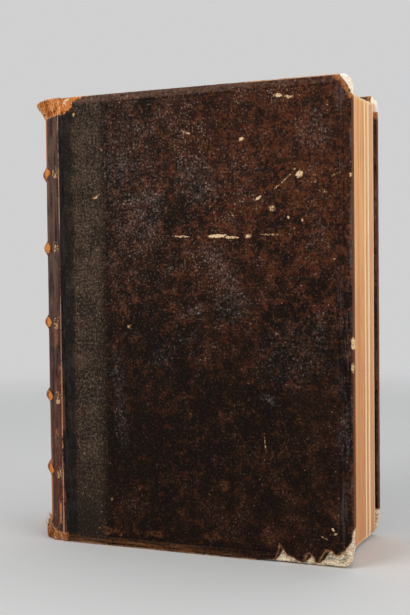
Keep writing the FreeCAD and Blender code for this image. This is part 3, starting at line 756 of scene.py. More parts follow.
def paper(f: Finish) -> Wire:
    """Return the colour of an old end leaf: toned unevenly, with small brown spots."""
    tone = f.noise(60, 4, 0.5) * 0.7 + f.noise(3, 5, 0.6, shift=9) * 0.3
    base = f.mix(tone.rise(0.36, 0.66), srgb(208, 184, 146), srgb(230, 212, 178))
    spots = f.noise(4.5, 2, 0.5, shift=31) + f.noise(30, 2, 0.5, shift=37) * 0.5
    return f.mix(spots.rise(0.97, 1.1, 0.6), base, srgb(160, 116, 74))


def paper_finish() -> bpy.types.Material:
    """The paste-downs: old laid paper."""
    f = Finish("end leaf paper")
    return f.dress(paper(f), 0.8, f.noise(1.2, 4, 0.6) * 0.5 + f.noise(14, 3, 0.5) * 0.5, 0.12, 0.0, 0.25)


def leaves_finish() -> bpy.types.Material:
    """Old rag paper, seen at the edges of the leaves: fine stripes, darker towards the foot."""
    f = Finish("edges of the leaves")
    page = f.value("page")
    line = f.node("ShaderNodeCombineXYZ", {}, {0: page, 1: f.z * 0.004, 2: f.x * 0.004})
    coarse = f.node("ShaderNodeTexNoise", {}, {"Vector": line, "Scale": 0.16, "Detail": 3.0})
    middle = f.node("ShaderNodeTexNoise", {}, {"Vector": line, "Scale": 0.9, "Detail": 4.0, "Roughness": 0.7})
    sheet = f.node("ShaderNodeTexNoise", {}, {"Vector": line, "Scale": 5.0, "Detail": 2.0})
    stain = f.noise(40, 4, 0.6, (1, 1, 2.5))
    low = f.z.rise(330, 20)
    peach = page.rise(3.5, 0.5)
    last = page.rise(35, 38)
    base = f.mix((coarse * 0.6 + stain * 0.4).rise(0.42, 0.6), srgb(242, 182, 122), srgb(224, 156, 98))
    base = f.mix(peach * 0.75, base, srgb(242, 184, 138))
    base = f.mix(last * 0.7, base, srgb(230, 170, 126))
    base = f.mix(low * 0.65, base, srgb(198, 134, 86))
    base = f.mix(middle.rise(0.52, 0.68, 0.55), base, srgb(242, 208, 166))
    base = f.mix(sheet.rise(0.5, 0.34, 0.4), base, srgb(158, 108, 72))
    cream = f.value("cream")
    base = f.mix(cream * 0.92, base, srgb(252, 228, 190))
    rim = f.z.rise(350.5, 353.0) + f.z.rise(5.0, 3.8)
    base = f.mix(rim * 0.55, base, srgb(250, 224, 180))
    base = f.mix(f.value("leaf"), base, paper(f))
    return f.dress(base, 0.8, sheet * 0.6 + middle * 0.6, 0.35, 0.0, 0.25)


@dataclass(frozen=True)
class Wear:
    """Patches where a cover is rubbed; a row is across from the fore-edge, up, half-length,
    half-width, degrees that it rises to the fore-edge, and share."""

    scratches: Marks
    spots: Marks
    rust: Marks
    dust: Marks

    def share(self, marks: Marks, points: Array, loose: float, seed: int) -> Array:
        """Return the largest share of any patch at each point.

        A patch is an oval whose outline wanders by loose millimetres; its share falls as a
        smooth step from 0.6 to 1.3 of its own size.

        Args:
            marks: The patches.
            points: Places on the cover, X and Z.
            loose: How far the outlines wander.
            seed: Seed of the wandering.

        Returns:
            The shares.
        """
        hills = Hills(seed)
        x, z = points.T
        x = x + loose * hills.at(x, z, 5.0, 3)
        z = z + loose * hills.at(x + 300, z, 5.0, 3)
        total = np.zeros(len(points))
        for across, up, long, tall, turn, share in marks:
            cos, sin = math.cos(math.radians(turn)), math.sin(math.radians(turn))
            dx, dz = x - SIZE.fore - across, z - up
            size = np.hypot((dx * cos + dz * sin) / long, (dz * cos - dx * sin) / tall)
            total = np.maximum(total, share * ease(size, 1.3, 0.6))
        return total


@dataclass
class CoverLeather:
    """The leather of one cover: an outer face, turned over three edges, torn at two corners."""

    side: Side
    wear: Wear
    foot_tear: Sequence[tuple[float, float]]
    head_tear: Sequence[tuple[float, float]]
    foot_turn: int
    head_turn: int
    seed: int
    thick: float = 0.8
    total: float = 6.0
    turn_in: float = 9.9
    round_edge: float = 1.6

    def depth(self, x: Array, z: Array) -> Array:
        """Return how deep the face lies under the book's widest plane.

        The face falls by 0.8 over the joint's slope, sinks 0.35 in the ruled lines, waves by a
        quarter of a millimetre, and thins out where it is torn.
        """
        hills = Hills(self.seed)
        slope_end = SIZE.board + 8.0
        slope = 0.8 * np.clip((slope_end - x) / (slope_end - SIZE.board + 0.7), 0, 1)
        inside = ease(x, slope_end - 9, slope_end + 6)
        waves = 0.22 + 0.16 * hills.at(x, z, 46, 2) + 0.06 * hills.at(x, z, 7, 2)
        return slope + inside * waves + 0.3 * self.lines(x, z)

    def lines(self, x: Array, z: Array) -> Array:
        """Return 1 in the middle of a ruled line, falling to 0 at 0.8 mm from it."""
        fore = SIZE.fore - x
        joint = x - (SIZE.board + 37.6 + z * 0.006)
        head = SIZE.height - 7.2 - z
        foot = z - 7.6
        inside = (ease(fore, 5.6, 6.4) * ease(joint, -0.9, -0.1)
                  * ease(head, -0.9, -0.1) * ease(foot, -0.9, -0.1))
        total = np.zeros(np.broadcast(x, z).shape)
        for gap in (fore - 7.0, fore - 10.4, joint, head, foot):
            total = np.maximum(total, ease(np.abs(gap), 0.85, 0.15))
        return total * inside

    def outline(self) -> tuple[Array, Array, Array, Array, int]:
        """Lay out the four borders of the face, and say how many columns cross the slope.

        Returns:
            The foot, fore-edge, head and joint borders, each from low to high, and the column
            at the top of the joint's slope.
        """
        inset, lean = self.round_edge, 0.45
        left, slope = SIZE.board - 0.7, SIZE.board + 8.0
        tear, head = (self.held(line) for line in self.tears())
        strip = np.linspace(left, slope, 9)[:-1]
        foot_line = np.concatenate([[(slope, inset)], tear[:self.foot_turn + 1]])
        head_line = np.concatenate([[(slope, SIZE.height - inset)], head[:self.head_turn + 1]])
        measure = (np.abs(np.diff(foot_line[:, 0])) + lean * np.abs(np.diff(foot_line[:, 1]))).sum()
        joint_line = SIZE.board + 38.5 - slope
        marks = [(joint_line, 0.6, 3.0), (measure - 30, 0.7, 34), (measure, 0.7, 20)]
        foot = along(foot_line, graded(0, measure, 1.35, marks) / measure, lean, True)
        share = (foot[:, 0] - foot[0, 0]) / (foot[-1, 0] - foot[0, 0])
        dense = along(head_line, np.linspace(0, 1, 3000), lean)
        reach = (dense[:, 0] - dense[0, 0]) / (dense[-1, 0] - dense[0, 0])
        head_row = np.stack([np.interp(share, reach, dense[:, k]) for k in range(2)], -1)
        bottom = np.concatenate([np.stack([strip, np.full(8, inset)], -1), foot])
        upper = np.concatenate([np.stack([strip, np.full(8, SIZE.height - inset)], -1), head_row])
        edge = np.concatenate([tear[self.foot_turn:], head[self.head_turn:][::-1]])[:, ::-1]
        length = (np.abs(np.diff(edge[:, 0])) + lean * np.abs(np.diff(edge[:, 1]))).sum()
        marks = [(length * 0.97, 0.7, 12), (length * 0.02, 0.8, 16)]
        right = along(edge, graded(0, length, 1.35, marks) / length, lean, True)[:, ::-1]
        hills = Hills(self.seed + 3)
        for line, loose in ((bottom, bottom[:, 1] > inset + 0.2), (right, right[:, 0] < SIZE.fore - inset - 0.2)):
            ends = np.minimum(np.arange(len(line)), np.arange(len(line))[::-1]) > 0
            for k in range(2):
                line[:, k] += 0.45 * (loose & ends) * hills.at(line[:, 0] * 0.9, line[:, 1] + 50 * k, 1.5, 2)
        share = (right[:, 1] - right[0, 1]) / (right[-1, 1] - right[0, 1])
        joint = np.stack([np.full(len(right), left), inset + (SIZE.height - 2 * inset) * share], -1)
        return bottom, right, upper, joint, 8

    def tears(self) -> tuple[Array, Array]:
        """Return the torn lines of the foot and the head corner, in the book's X and Z."""
        foot = np.array(self.foot_tear, float)
        head = np.array(self.head_tear, float)
        return (np.stack([SIZE.fore - foot[:, 0], foot[:, 1]], -1),
                np.stack([SIZE.fore - head[:, 0], SIZE.height - head[:, 1]], -1))

    def held(self, line: Array) -> Array:
        """Hold a line within the flat part of the face."""
        inset = self.round_edge
        return np.stack([np.minimum(line[:, 0], SIZE.fore - inset),
                         np.clip(line[:, 1], inset, SIZE.height - inset)], -1)

    def build(self, material: bpy.types.Material) -> bpy.types.Object:
        """Build the piece.

        The face is a Coons patch between its four borders: the mean of the two ruled surfaces
        less the bilinear one. From its border loop, rings run round the edge of the board, in
        over its inner face by the turn-in, and back to the hidden side of the leather; where the
        border is torn, or lies in the joint, the rings only cross the leather's thickness.

        Args:
            material: The finish.

        Returns:
            The object.
        """
        bottom, right, upper, joint, slope = self.outline()
        v = ((joint[:, 1] - joint[0, 1]) / (joint[-1, 1] - joint[0, 1]))[None, :, None]
        u = ((bottom[:, 0] - bottom[0, 0]) / (bottom[-1, 0] - bottom[0, 0]))[:, None, None]
        face = ((1 - v) * bottom[:, None] + v * upper[:, None]
                + (1 - u) * joint[None] + u * right[None]
                - (1 - u) * (1 - v) * bottom[0] - u * (1 - v) * bottom[-1]
                - (1 - u) * v * upper[0] - u * v * upper[-1])
        columns, rows = face.shape[:2]
        ids = np.arange(columns * rows).reshape(columns, rows)
        quads = np.stack([ids[:-1, :-1], ids[1:, :-1], ids[1:, 1:], ids[:-1, 1:]], -1).reshape(-1, 4)
        flat = face.reshape(-1, 2)
        loop = np.concatenate([ids[:-1, 0], ids[-1, :-1], ids[:0:-1, -1], ids[0, :0:-1]])
        border = flat[loop]
        tear_foot, tear_head = self.tears()
        torn = np.minimum(distance_to(flat, tear_foot), distance_to(flat, tear_head))
        deep = self.depth(flat[:, 0], flat[:, 1])
        ragged = Hills(self.seed + 1)
        thin = ease(torn, 4.5, 0.0) * (0.34 + 0.1 * ragged.at(flat[:, 0], flat[:, 1], 3.0, 2))
        deep = deep + thin

        inset = self.round_edge
        on_foot = np.abs(border[:, 1] - inset) < 1e-6
        on_head = np.abs(border[:, 1] - SIZE.height + inset) < 1e-6
        on_fore = np.abs(border[:, 0] - SIZE.fore + inset) < 1e-6
        on_joint = np.abs(border[:, 0] - (SIZE.board - 0.7)) < 1e-6
        wrapped = (on_foot | on_head | on_fore) & ~on_joint
        weight = wrapped.astype(float)
        weight = np.minimum(weight, (np.roll(weight, 1) + np.roll(weight, -1)) / 2)
        weight = np.minimum(weight, 0.25 + 0.75 * (np.roll(weight, 1) + np.roll(weight, -1)) / 2)
        out = np.zeros_like(border)
        out[on_foot, 1] = -1
        out[on_head, 1] = 1
        out[on_fore & ~on_foot & ~on_head, 0] = 1
        w = weight[:, None]
        start = deep[loop]
        slip = np.clip((SIZE.board + 8.0 - border[:, 0]) / 8.7, 0, 1) * 0.8
        rings: list[tuple[Array, Array]] = []
        turns = [0.35, 0.7, 1.0]
        for turn in turns:
            angle = turn * math.pi / 2
            rings.append((inset * math.sin(angle) + 0 * start,
                          start + inset * (1 - math.cos(angle))))
        rings.append((inset + 0 * start, start * 0 + self.total - 1.3))
        rings.append((inset - 0.35 + 0 * start, start * 0 + self.total - 0.35))
        rings.append((inset - 1.2 + 0 * start, start * 0 + self.total))
        rings.append((inset - self.turn_in + 0 * start, start * 0 + self.total))
        rings.append((inset - self.turn_in + 0 * start, start * 0 + self.total - 0.38))
        rings.append((inset - self.thick - 0.3 + 0 * start, start * 0 + self.total - 0.38))
        rings.append((inset - self.thick - 0.3 + 0 * start, self.thick + slip))
        count = len(rings)
        worn = Hills(self.seed + 2)
        points = [np.stack([flat[:, 0], deep, flat[:, 1]], -1)]
        ring_ids = [loop]
        base = len(flat)
        hidden = self.thick + slip
        for k, (shift, level) in enumerate(rings, start=1):
            cross = k / count
            thin_level = start + (np.maximum(hidden, start + 0.2) - start) * cross
            level = weight * level + (1 - weight) * thin_level
            wave = 0.18 * worn.at(border[:, 0] + border[:, 1], np.full(len(border), 9.0 * k), 5.0, 2)
            move = (shift + wave * (1 if k in (2, 3, 4) else 0) - (0.2 if k in (2, 3, 4) else 0))
            spot = border + out * (w * move[:, None])
            points.append(np.stack([spot[:, 0], level, spot[:, 1]], -1))
            ring_ids.append(base + np.arange(len(loop)))
            base += len(loop)
        faces = quads.tolist()
        for lower, higher in zip(ring_ids[:-1], ring_ids[1:]):
            faces += np.stack([lower, np.roll(lower, -1), np.roll(higher, -1), higher], -1).tolist()
        last = ring_ids[-1]
        foot_mark = slope
        head_mark = (columns - 1) + (rows - 1) + (columns - 1 - slope)
        faces.append(last[foot_mark:head_mark + 1].tolist())
        faces.append(np.concatenate([last[head_mark:], last[:foot_mark + 1]]).tolist())
        place = np.concatenate(points)
        spread = np.stack([place[:, 0], place[:, 2]], -1)
        edge = np.minimum.reduce([SIZE.fore - spread[:, 0], SIZE.height - spread[:, 1], spread[:, 1]])
        place[:, 1] = self.side.value * (SIZE.half - np.clip(place[:, 1], 0.0, self.total))
        at_foot, at_head = distance_to(spread, tear_foot), distance_to(spread, tear_head)
        values = {
            "edge": np.clip(edge, 0, 60),
            "torn": np.minimum(at_foot * 1.9, at_head),
            "lip": np.minimum(at_foot, at_head),
            "line": self.lines(spread[:, 0], spread[:, 1]) * (np.abs(place[:, 1]) > SIZE.half - 2),
            "spot": self.wear.share(self.wear.spots, spread, 0.5, self.seed + 5),
            "rust": self.wear.share(self.wear.rust, spread, 3.0, self.seed + 6),
            "dust": self.wear.share(self.wear.dust, spread, 6.0, self.seed + 7),
        }
        return Skin(place, faces, values).piece(f"{self.side.name.lower()}_cover_leather", material)


@dataclass
class Pasteboard:
    """One board: its fore-edge corners rounded, its bare corners worn and split."""

    side: Side
    leather: CoverLeather
    seed: int
    corner: float = 7.0

    def build(self, material: bpy.types.Material) -> bpy.types.Object:
        """Build the piece.

        The block of points is a slab; a corner's square is drawn onto its quarter disc by
        p times the root of (1 minus half q squared), and the same with p and q changed round.
        Where the leather is gone the board swells to the leather's own outline.

        Args:
            material: The finish.

        Returns:
            The object.
        """
        left, right = SIZE.board, SIZE.fore - 0.9
        low, high = 0.9, SIZE.height - 0.9
        xs = graded(left, right, 9, [(right, 0.7, 30), (right - 35, 0.9, 24), (left + 8, 3.0, 4)])
        zs = graded(low, high, 9, [(low, 0.7, 20), (high, 0.7, 16)])
        levels = np.linspace(0, 1, 6)
        place, quads = lattice(len(xs), len(levels), len(zs))
        x, t, z = xs[place[:, 0]], levels[place[:, 1]], zs[place[:, 2]]
        r = self.corner
        p = np.clip((x - (right - r)) / r, 0, 1)
        foot = z < SIZE.height / 2
        q = np.where(foot, (low + r - z) / r, (z - (high - r)) / r).clip(0, 1)
        corner = (p > 0) & (q > 0)
        new_p = p * np.sqrt(1 - q * q / 2)
        new_q = q * np.sqrt(1 - p * p / 2)
        x = np.where(corner, right - r + r * new_p, x)
        z = np.where(corner, np.where(foot, low + r - r * new_q, high - r + r * new_q), z)
        hills = Hills(self.seed)
        near = np.minimum.reduce([right - x, z - low, high - z])
        flat = np.stack([x, z], -1)
        foot_tear, head_tear = self.leather.tears()
        bare_foot = ease(np.hypot(np.maximum(right - x - 34, 0), z - low), 16, 6) * ease(right - x, 66, 54)
        bare_foot = np.maximum(bare_foot, ease(np.hypot(right - x, z - low), 34, 24))
        reach_x, reach_z = self.leather.head_tear[0][0], self.leather.head_tear[-1][1]
        bare_head = ease(np.hypot((right - x) / reach_x, (high - z) / reach_z), 1.25, 0.8)
        bare = np.maximum(bare_foot, bare_head)
        barrel = 1 - np.abs(2 * t - 1) ** 2.2
        rim = ease(near, 2.6, 0.0)
        chips = ease(near, 5, 0) * bare_foot * (0.3 + 0.45 * hills.at(x * 1.3 + z, t * 4 + z, 3.5, 2))
        worn = rim * (1 - barrel) * 1.2 + chips - bare_head * rim * 0.75 - bare_foot * rim * 0.5
        slant = 2.6 * np.clip(1 - (z - low) / 20, 0, 1) ** 2 * ease(right - x, 14, 0)
        pull_x = ease(right - x, 7, 0)
        pull_z = np.where(foot, ease(z - low, 7, 0), -ease(high - z, 7, 0))
        x = x - worn * pull_x * (place[:, 0] > 0) - slant * (place[:, 0] > 0)
        z = z + worn * pull_z
        slope = 0.8 * np.clip((SIZE.board + 8 - x) / 8.7, 0, 1)
        flakes = hills.at(x, z, 4.0, 3) + 0.6 * hills.at(x, z, 1.6, 2)
        top = 0.86 + slope + bare * (0.12 + 0.2 * flakes) + rim * bare * (0.3 + 0.6 * (1 - barrel) * t)
        depth = np.maximum(top, 0.5) + (5.58 - top) * t
        points = np.stack([x, self.side.value * (SIZE.half - np.clip(depth, 0.3, 5.6)), z], -1)
        values = {"torn": np.minimum(distance_to(flat, foot_tear), distance_to(flat, head_tear)),
                  "edge": near}
        return Skin(points, quads, values).piece(f"{self.side.name.lower()}_pasteboard", material)


@dataclass
class SpineLeather:
    """The leather of the spine: five bands, a cap over each end, ridges at the joints."""

    thick: float = 1.2
    lip: float = 6.6
    fold: float = 1.3
    head_flare: Sequence[float] = (6.1, 6.4, 7.0, 6.3, 4.6, 3.2, 0.0)
    head_angles: Sequence[float] = (0, 20, 30, 38, 48, 57, 65)
    tail_flare: Sequence[float] = (3.4, 3.8, 4.6, 5.3, 5.0, 4.1, 1.2, 0.0)
    tail_angles: Sequence[float] = (0, 28, 38, 45, 50, 55, 60, 65)

    def face(self, angle: Array, z: Array) -> tuple[Array, Array, Array]:
        """Return how far the face stands out from the spine's round, and the bands' and caps' shares.

        The band's own circle stands out of the spine's by d cos a + sqrt(R^2 - d^2 sin^2 a) less
        the spine's radius, and fades up and down as a cosine to the power 1.3. The cap at the
        head opens like a funnel up to its rim; the one at the foot splays as a smooth step.
        """
        shift = SIZE.axis - (SIZE.crown - 4.0 + SIZE.band_radius)
        around = (shift * np.cos(angle) + np.sqrt(SIZE.band_radius ** 2 - (shift * np.sin(angle)) ** 2)
                  - SIZE.radius)
        around = np.maximum(around, 0)
        band = np.zeros_like(angle + z)
        for middle in SIZE.bands:
            share = np.clip(np.abs(z - middle) / 6.3, 0, 1)
            band = np.maximum(band, np.cos(share * math.pi / 2) ** 1.3)
        degrees = np.degrees(np.abs(angle))
        head = np.interp(degrees, self.head_angles, self.head_flare)
        tail = np.interp(degrees, self.tail_angles, self.tail_flare)
        top = SIZE.height - z
        swell = np.clip((13.2 - top) / 11.2, 0, 1) ** 1.15
        splay = ease(z, 17.0, 4.5)
        hills = Hills(31)
        arc = np.degrees(angle)
        crumple = hills.at(arc, z, 5.0, 3) * 0.8 + hills.at(arc, z, 1.8, 2) * 0.4
        caps = np.maximum(ease(top, 13, 8), ease(z, 16, 9))
        stretch = hills.at(arc, z, 4.0, 2, 9.0) * 0.16 + hills.at(arc, z, 16, 2) * 0.18
        edge = ease(65.8 - degrees, 0.3, 5.0)
        out = (around * band * (0.97 + 0.06 * hills.at(arc, z, 7, 2)) + head * swell + tail * splay
               + (crumple * caps * 0.8 - 0.1 * caps + stretch - 0.3) * edge)
        tail_line = 15.5 - 8.5 * np.clip((degrees - 28) / 32, 0, 1)
        line = 1.4 * hills.at(arc, z * 0, 3.0, 2)
        inside = np.maximum(ease(14.0 + line - top, -2.5, 2.5), ease(tail_line + line - z, -2.5, 2.5))
        return out, band, inside

    def build(self, material: bpy.types.Material) -> bpy.types.Object:
        """Build the piece: a thick sheet that runs from lip to lip over the face.

        Args:
            material: The finish.

        Returns:
            The object.
        """
        half_turn = math.asin(SIZE.half / SIZE.radius)
        arc = np.linspace(-half_turn, half_turn, 121)
        marks = [(m, 0.75, 7.5) for m in SIZE.bands] + [(0.0, 0.8, 16), (SIZE.height, 0.8, 14)]
        heights = graded(self.fold, SIZE.height - self.fold, 2.4, marks)
        outward = np.stack([-np.cos(arc), np.sin(arc)], -1)
        base = np.stack([SIZE.axis - SIZE.radius * np.cos(arc), SIZE.radius * np.sin(arc)], -1)
        lips = []
        for sign in (-1, 1):
            ridge = np.array([SIZE.ridge, sign * SIZE.half])
            end = np.array([SIZE.ridge + 1.7, sign * (SIZE.half - 0.8)])
            lips.append(np.array([ridge + (end - ridge) * s for s in (0.35, 0.7, 1.0)]))
        base = np.concatenate([lips[0][::-1], base, lips[1]])
        slope = np.array([0.426, 0.905])
        outward = np.concatenate([[slope * (1, -1)] * 3, outward, [slope] * 3])
        outward[3] = (0, -1)
        outward[-4] = (0, 1)
        angle = np.concatenate([[-half_turn] * 3, arc, [half_turn] * 3])
        columns = len(angle)
        in_arc = np.ones(columns)
        in_arc[:3] = in_arc[-3:] = 0
        bend = np.linspace(0, 1, 5)[1:-1] * math.pi / 2
        reach = np.linspace(0, 1, 9)
        grid_a, grid_z = np.meshgrid(angle, heights, indexing="ij")
        out, band, cap = self.face(grid_a, grid_z)
        out = out * in_arc[:, None]
        foot_out, head_out = out[:, :1], out[:, -1:]
        lip_in = np.where(in_arc > 0, self.lip, 0.9)[:, None]
        lip_in = lip_in * np.where(np.abs(angle) > half_turn - 0.04, 0.3, 1)[:, None]
        hills = Hills(47)
        ragged = 0.7 * hills.at(np.degrees(angle), 0 * angle, 3.0, 2)[:, None]
        fold = self.fold
        parts_out = [
            foot_out - fold + (-lip_in - ragged - foot_out + fold) * (1 - reach[None, :]),
            foot_out - fold + fold * np.sin(bend)[None, :],
            out,
            head_out - fold + fold * np.sin(bend[::-1])[None, :],
            head_out - fold + (-lip_in + ragged - head_out + fold) * reach[None, :],
        ]
        level = 0.12 + 0.1 * hills.at(np.degrees(angle)[:, None], reach[None, :] * 8, 4.0, 2)
        ones = np.ones((columns, 1))
        parts_up = [
            np.abs(level),
            ones * (fold - fold * np.cos(bend))[None, :],
            grid_z,
            ones * (SIZE.height - fold + fold * np.cos(bend[::-1]))[None, :],
            SIZE.height - np.abs(level) - 0.02 - 0.5 * reach[None, :] * ease(np.abs(angle), 0.2, 0.9)[:, None],
        ]
        stand = np.concatenate(parts_out, 1)
        up = np.concatenate(parts_up, 1)
        run_r = np.gradient(stand, axis=1)
        run_z = np.gradient(up, axis=1)
        size = np.maximum(np.hypot(run_r, run_z), 1e-6)
        inner_stand = stand - self.thick * run_z / size
        inner_up = up + self.thick * run_r / size
        inner_up = np.clip(inner_up, 0.15, SIZE.height - 0.15)

        def spot(stand_out: Array, height: Array) -> Array:
            """Put a height and a distance out from the spine's round into space."""
            flat = base[:, None, :] + outward[:, None, :] * stand_out[..., None]
            return np.stack([flat[..., 0], flat[..., 1], height], -1)

        outer = spot(stand, up)
        limit = SIZE.half - 0.02
        outer[..., 1] = np.clip(outer[..., 1], -limit, limit)
        outer[..., 0] = np.clip(outer[..., 0], -SIZE.fore + 0.02, SIZE.ridge + 1.7)
        outer[..., 2] = np.clip(outer[..., 2], 0.02, SIZE.height - 0.02)
        points, quads, spots = thick_sheet(outer, spot(inner_stand, inner_up))
        turned_in = (stand.shape[1] - len(heights)) // 2
        pad = ((0, 0), (turned_in, turned_in))
        pick = (spots[:, 0], spots[:, 1])
        from_ridge = np.where(in_arc > 0, (half_turn - np.abs(angle)) * SIZE.radius, 0.0)
        values = {
            "band": np.pad(band, pad)[pick],
            "cap": np.pad(cap, pad, constant_values=1.0)[pick],
            "ridge": from_ridge[spots[:, 0]],
            "arc": np.degrees(angle)[spots[:, 0]],
        }
        return Skin(points, quads, values).piece("spine_cover", material, 60.0)


@dataclass
class JointLeather:
    """The leather in the groove of a joint."""

    side: Side
    seed: int

    def build(self, material: bpy.types.Material) -> bpy.types.Object:
        """Build the strip: a thick sheet that dips into the groove between spine and cover.

        Args:
            material: The finish.

        Returns:
            The object.
        """
        path = np.array([(-1.15, 0.62), (-0.8, 0.72), (-0.4, 0.78), (0.0, 0.8), (0.3, 0.8), (0.7, 0.78),
                         (1.2, 0.72), (1.7, 0.70)])
        x = SIZE.board - 1.0 + path[:, 0]
        z = np.linspace(0.8, SIZE.height - 0.8, 220)
        hills = Hills(self.seed)
        wave = 0.03 * hills.at(x[:, None] * 4, z[None, :], 9, 2)
        depth = path[:, 1:2] - 0.07 + wave
        y = self.side.value * (SIZE.half - depth)
        outer = np.stack([np.repeat(x[:, None], len(z), 1), y, np.repeat(z[None, :], len(x), 0)], -1)
        inner = outer.copy()
        inner[..., 1] -= self.side.value * 0.7
        points, quads, _ = thick_sheet(outer, inner)
        return Skin(points, quads).piece(f"{self.side.name.lower()}_joint_leather", material)


@dataclass
class Leaves:
    """The sewn leaves: fanned out over the shoulders, hollow at the fore-edge."""

    foot: float = 3.0
    head: float = 354.0
    shoulder: float = 48.6
    block_radius: float = 53.909
    fore_gap: float = 3.5
    hollow: float = 5.5
    creams: Sequence[tuple[float, float]] = ((26.7, 1.7), (33.7, 1.6), (43.6, 0.6), (-31.0, 1.2), (-12.5, 0.4))

    def build(self, material: bpy.types.Material) -> bpy.types.Object:
        """Build the block.

        A leaf's place in the block is s, from -1 to 1. Its half-width is s times the half
        thickness, and grows to s times the shoulder behind the boards. Its spine end lies on
        the block's circle, and its fore-edge is hollow by (1 - s squared). Each leaf stands a
        little out or in.

        Args:
            material: The finish.

        Returns:
            The object.
        """
        pages = 236
        s = np.linspace(-1, 1, pages)
        root = SIZE.board - 0.3
        shoulder_x = SIZE.axis - math.sqrt(self.block_radius ** 2 - self.shoulder ** 2)
        back = SIZE.axis - np.sqrt(self.block_radius ** 2 - (self.shoulder * s) ** 2) - 0.5 * np.abs(s) ** 9
        rng = np.random.default_rng(5)
        loose = rng.normal(0, 0.10, pages) + np.convolve(rng.normal(0, 0.35, pages), np.ones(9) / 9, "same")
        fore = SIZE.fore - self.fore_gap - self.hollow * (1 - s * s)
        cream = np.zeros(pages)
        for middle, width in self.creams:
            cream = np.maximum(cream, ease(np.abs(s * SIZE.leaf_side - middle), width * 1.2, width * 0.5))
        fore = np.minimum(fore + np.clip(loose, -0.5, 0.45) + cream * 0.3, SIZE.fore - self.fore_gap - 0.02)
        near = np.concatenate([np.linspace(0, 1, 7)[:-1], 1 + np.linspace(0, 1, 5)[:-1],
                               2 + np.linspace(0, 1, 22) ** 0.8])
        zs = graded(self.foot, self.head, 5.5, [(self.foot, 0.7, 7), (self.head, 0.7, 7)])
        place, quads = lattice(len(near), pages, len(zs))
        i, j, k = place.T
        n = near[i]
        x = np.where(n < 1, back[j] + (shoulder_x - back[j]) * n,
                     np.where(n < 2, shoulder_x + (root - shoulder_x) * (n - 1),
                              root + (fore[j] - root) * np.clip(n - 2, 0, 1)))
        width = np.where(x >= root, SIZE.leaf_side,
                         SIZE.leaf_side + (self.shoulder - SIZE.leaf_side)
                         * np.clip((root - x) / (root - shoulder_x), 0, 1))
        z = zs[k]
        hills = Hills(61)
        sway = 0.3 * hills.at(z, s[j] * 45, 60, 2) * ease(x, 0, 120)
        y = s[j] * width
        uneven = rng.normal(0, 0.10, pages)[j] + 0.16 * hills.at(s[j] * 45, x, 3.0, 2, 8.0)
        top_end = (k == len(zs) - 1)
        foot_end = (k == 0)
        z = z - np.clip(uneven + 0.35, 0.02, 0.8) * top_end + np.clip(uneven + 0.3, 0.02, 0.8) * foot_end
        corner = ease(SIZE.fore - self.fore_gap - x, 14, 0) * ease(s[j] * 45, 30, 45)
        z = z + corner * 2.6 * ease(z, 14, 3)
        x = x + np.minimum(sway, 0) * (n > 2.5)
        x = x - corner * 1.4 * ease(z, 10, 3)
        inside = np.minimum.reduce([fore[j] - x, z - self.foot, self.head - z])
        values = {"page": s[j] * SIZE.leaf_side, "cream": cream[j] * ease(x, 60, 125),
                  "leaf": ((j == 0) | (j == pages - 1)) * ease(inside, 0.6, 3.0)}
        return Skin(np.stack([x, y, z], -1), quads, values).piece("leaves", material, 80.0)


@dataclass
class EndBand:
    """A band of silk worked over a core, at one end of the spine."""

    name: str
    height: float
    across: float

    def build(self, material: bpy.types.Material) -> bpy.types.Object:
        """Build the band: a ring of points carried along an arc, with threads as ridges.

        Args:
            material: The finish.

        Returns:
            The object.
        """
        radius = 53.909 - self.across / 2
        half_turn = math.asin(43.2 / 54.609) - 0.01
        turn = np.linspace(-half_turn, half_turn, 360)
        ring = np.linspace(0, 2 * math.pi, 18, endpoint=False)
        thread = 0.5 + 0.5 * np.cos(turn[:, None] * radius / 1.15 * math.pi + ring[None, :])
        size = self.across / 2 * (0.9 + 0.08 * thread)
        size[0] = size[-1] = self.across * 0.2
        reach = radius + size * np.cos(ring)[None, :]
        points = np.stack([SIZE.axis - reach * np.cos(turn)[:, None], reach * np.sin(turn)[:, None],
                           self.height + size * np.sin(ring)[None, :]], -1)
        ids = np.arange(points.shape[0] * len(ring)).reshape(-1, len(ring))
        after = np.roll(ids, -1, 1)
        faces = np.stack([ids[:-1], after[:-1], after[1:], ids[1:]], -1).reshape(-1, 4).tolist()
        faces += [ids[0].tolist(), ids[-1, ::-1].tolist()]
        return Skin(points.reshape(-1, 3), faces,
                    {"thread": thread.reshape(-1)}).piece(self.name, material)


def thread_finish() -> bpy.types.Material:
    """Faded silk of two colours, laid thread by thread."""
    f = Finish("end band silk")
    thread = f.value("thread")
    dirt = f.noise(5, 4, 0.6)
    colour = f.mix(thread.rise(0.3, 0.7), srgb(120, 84, 52), srgb(206, 182, 140))
    colour = f.mix(dirt.rise(0.5, 0.3, 0.6), colour, srgb(70, 50, 36))
    return f.dress(colour, 0.75, thread, 0.2, 0.0, 0.3)


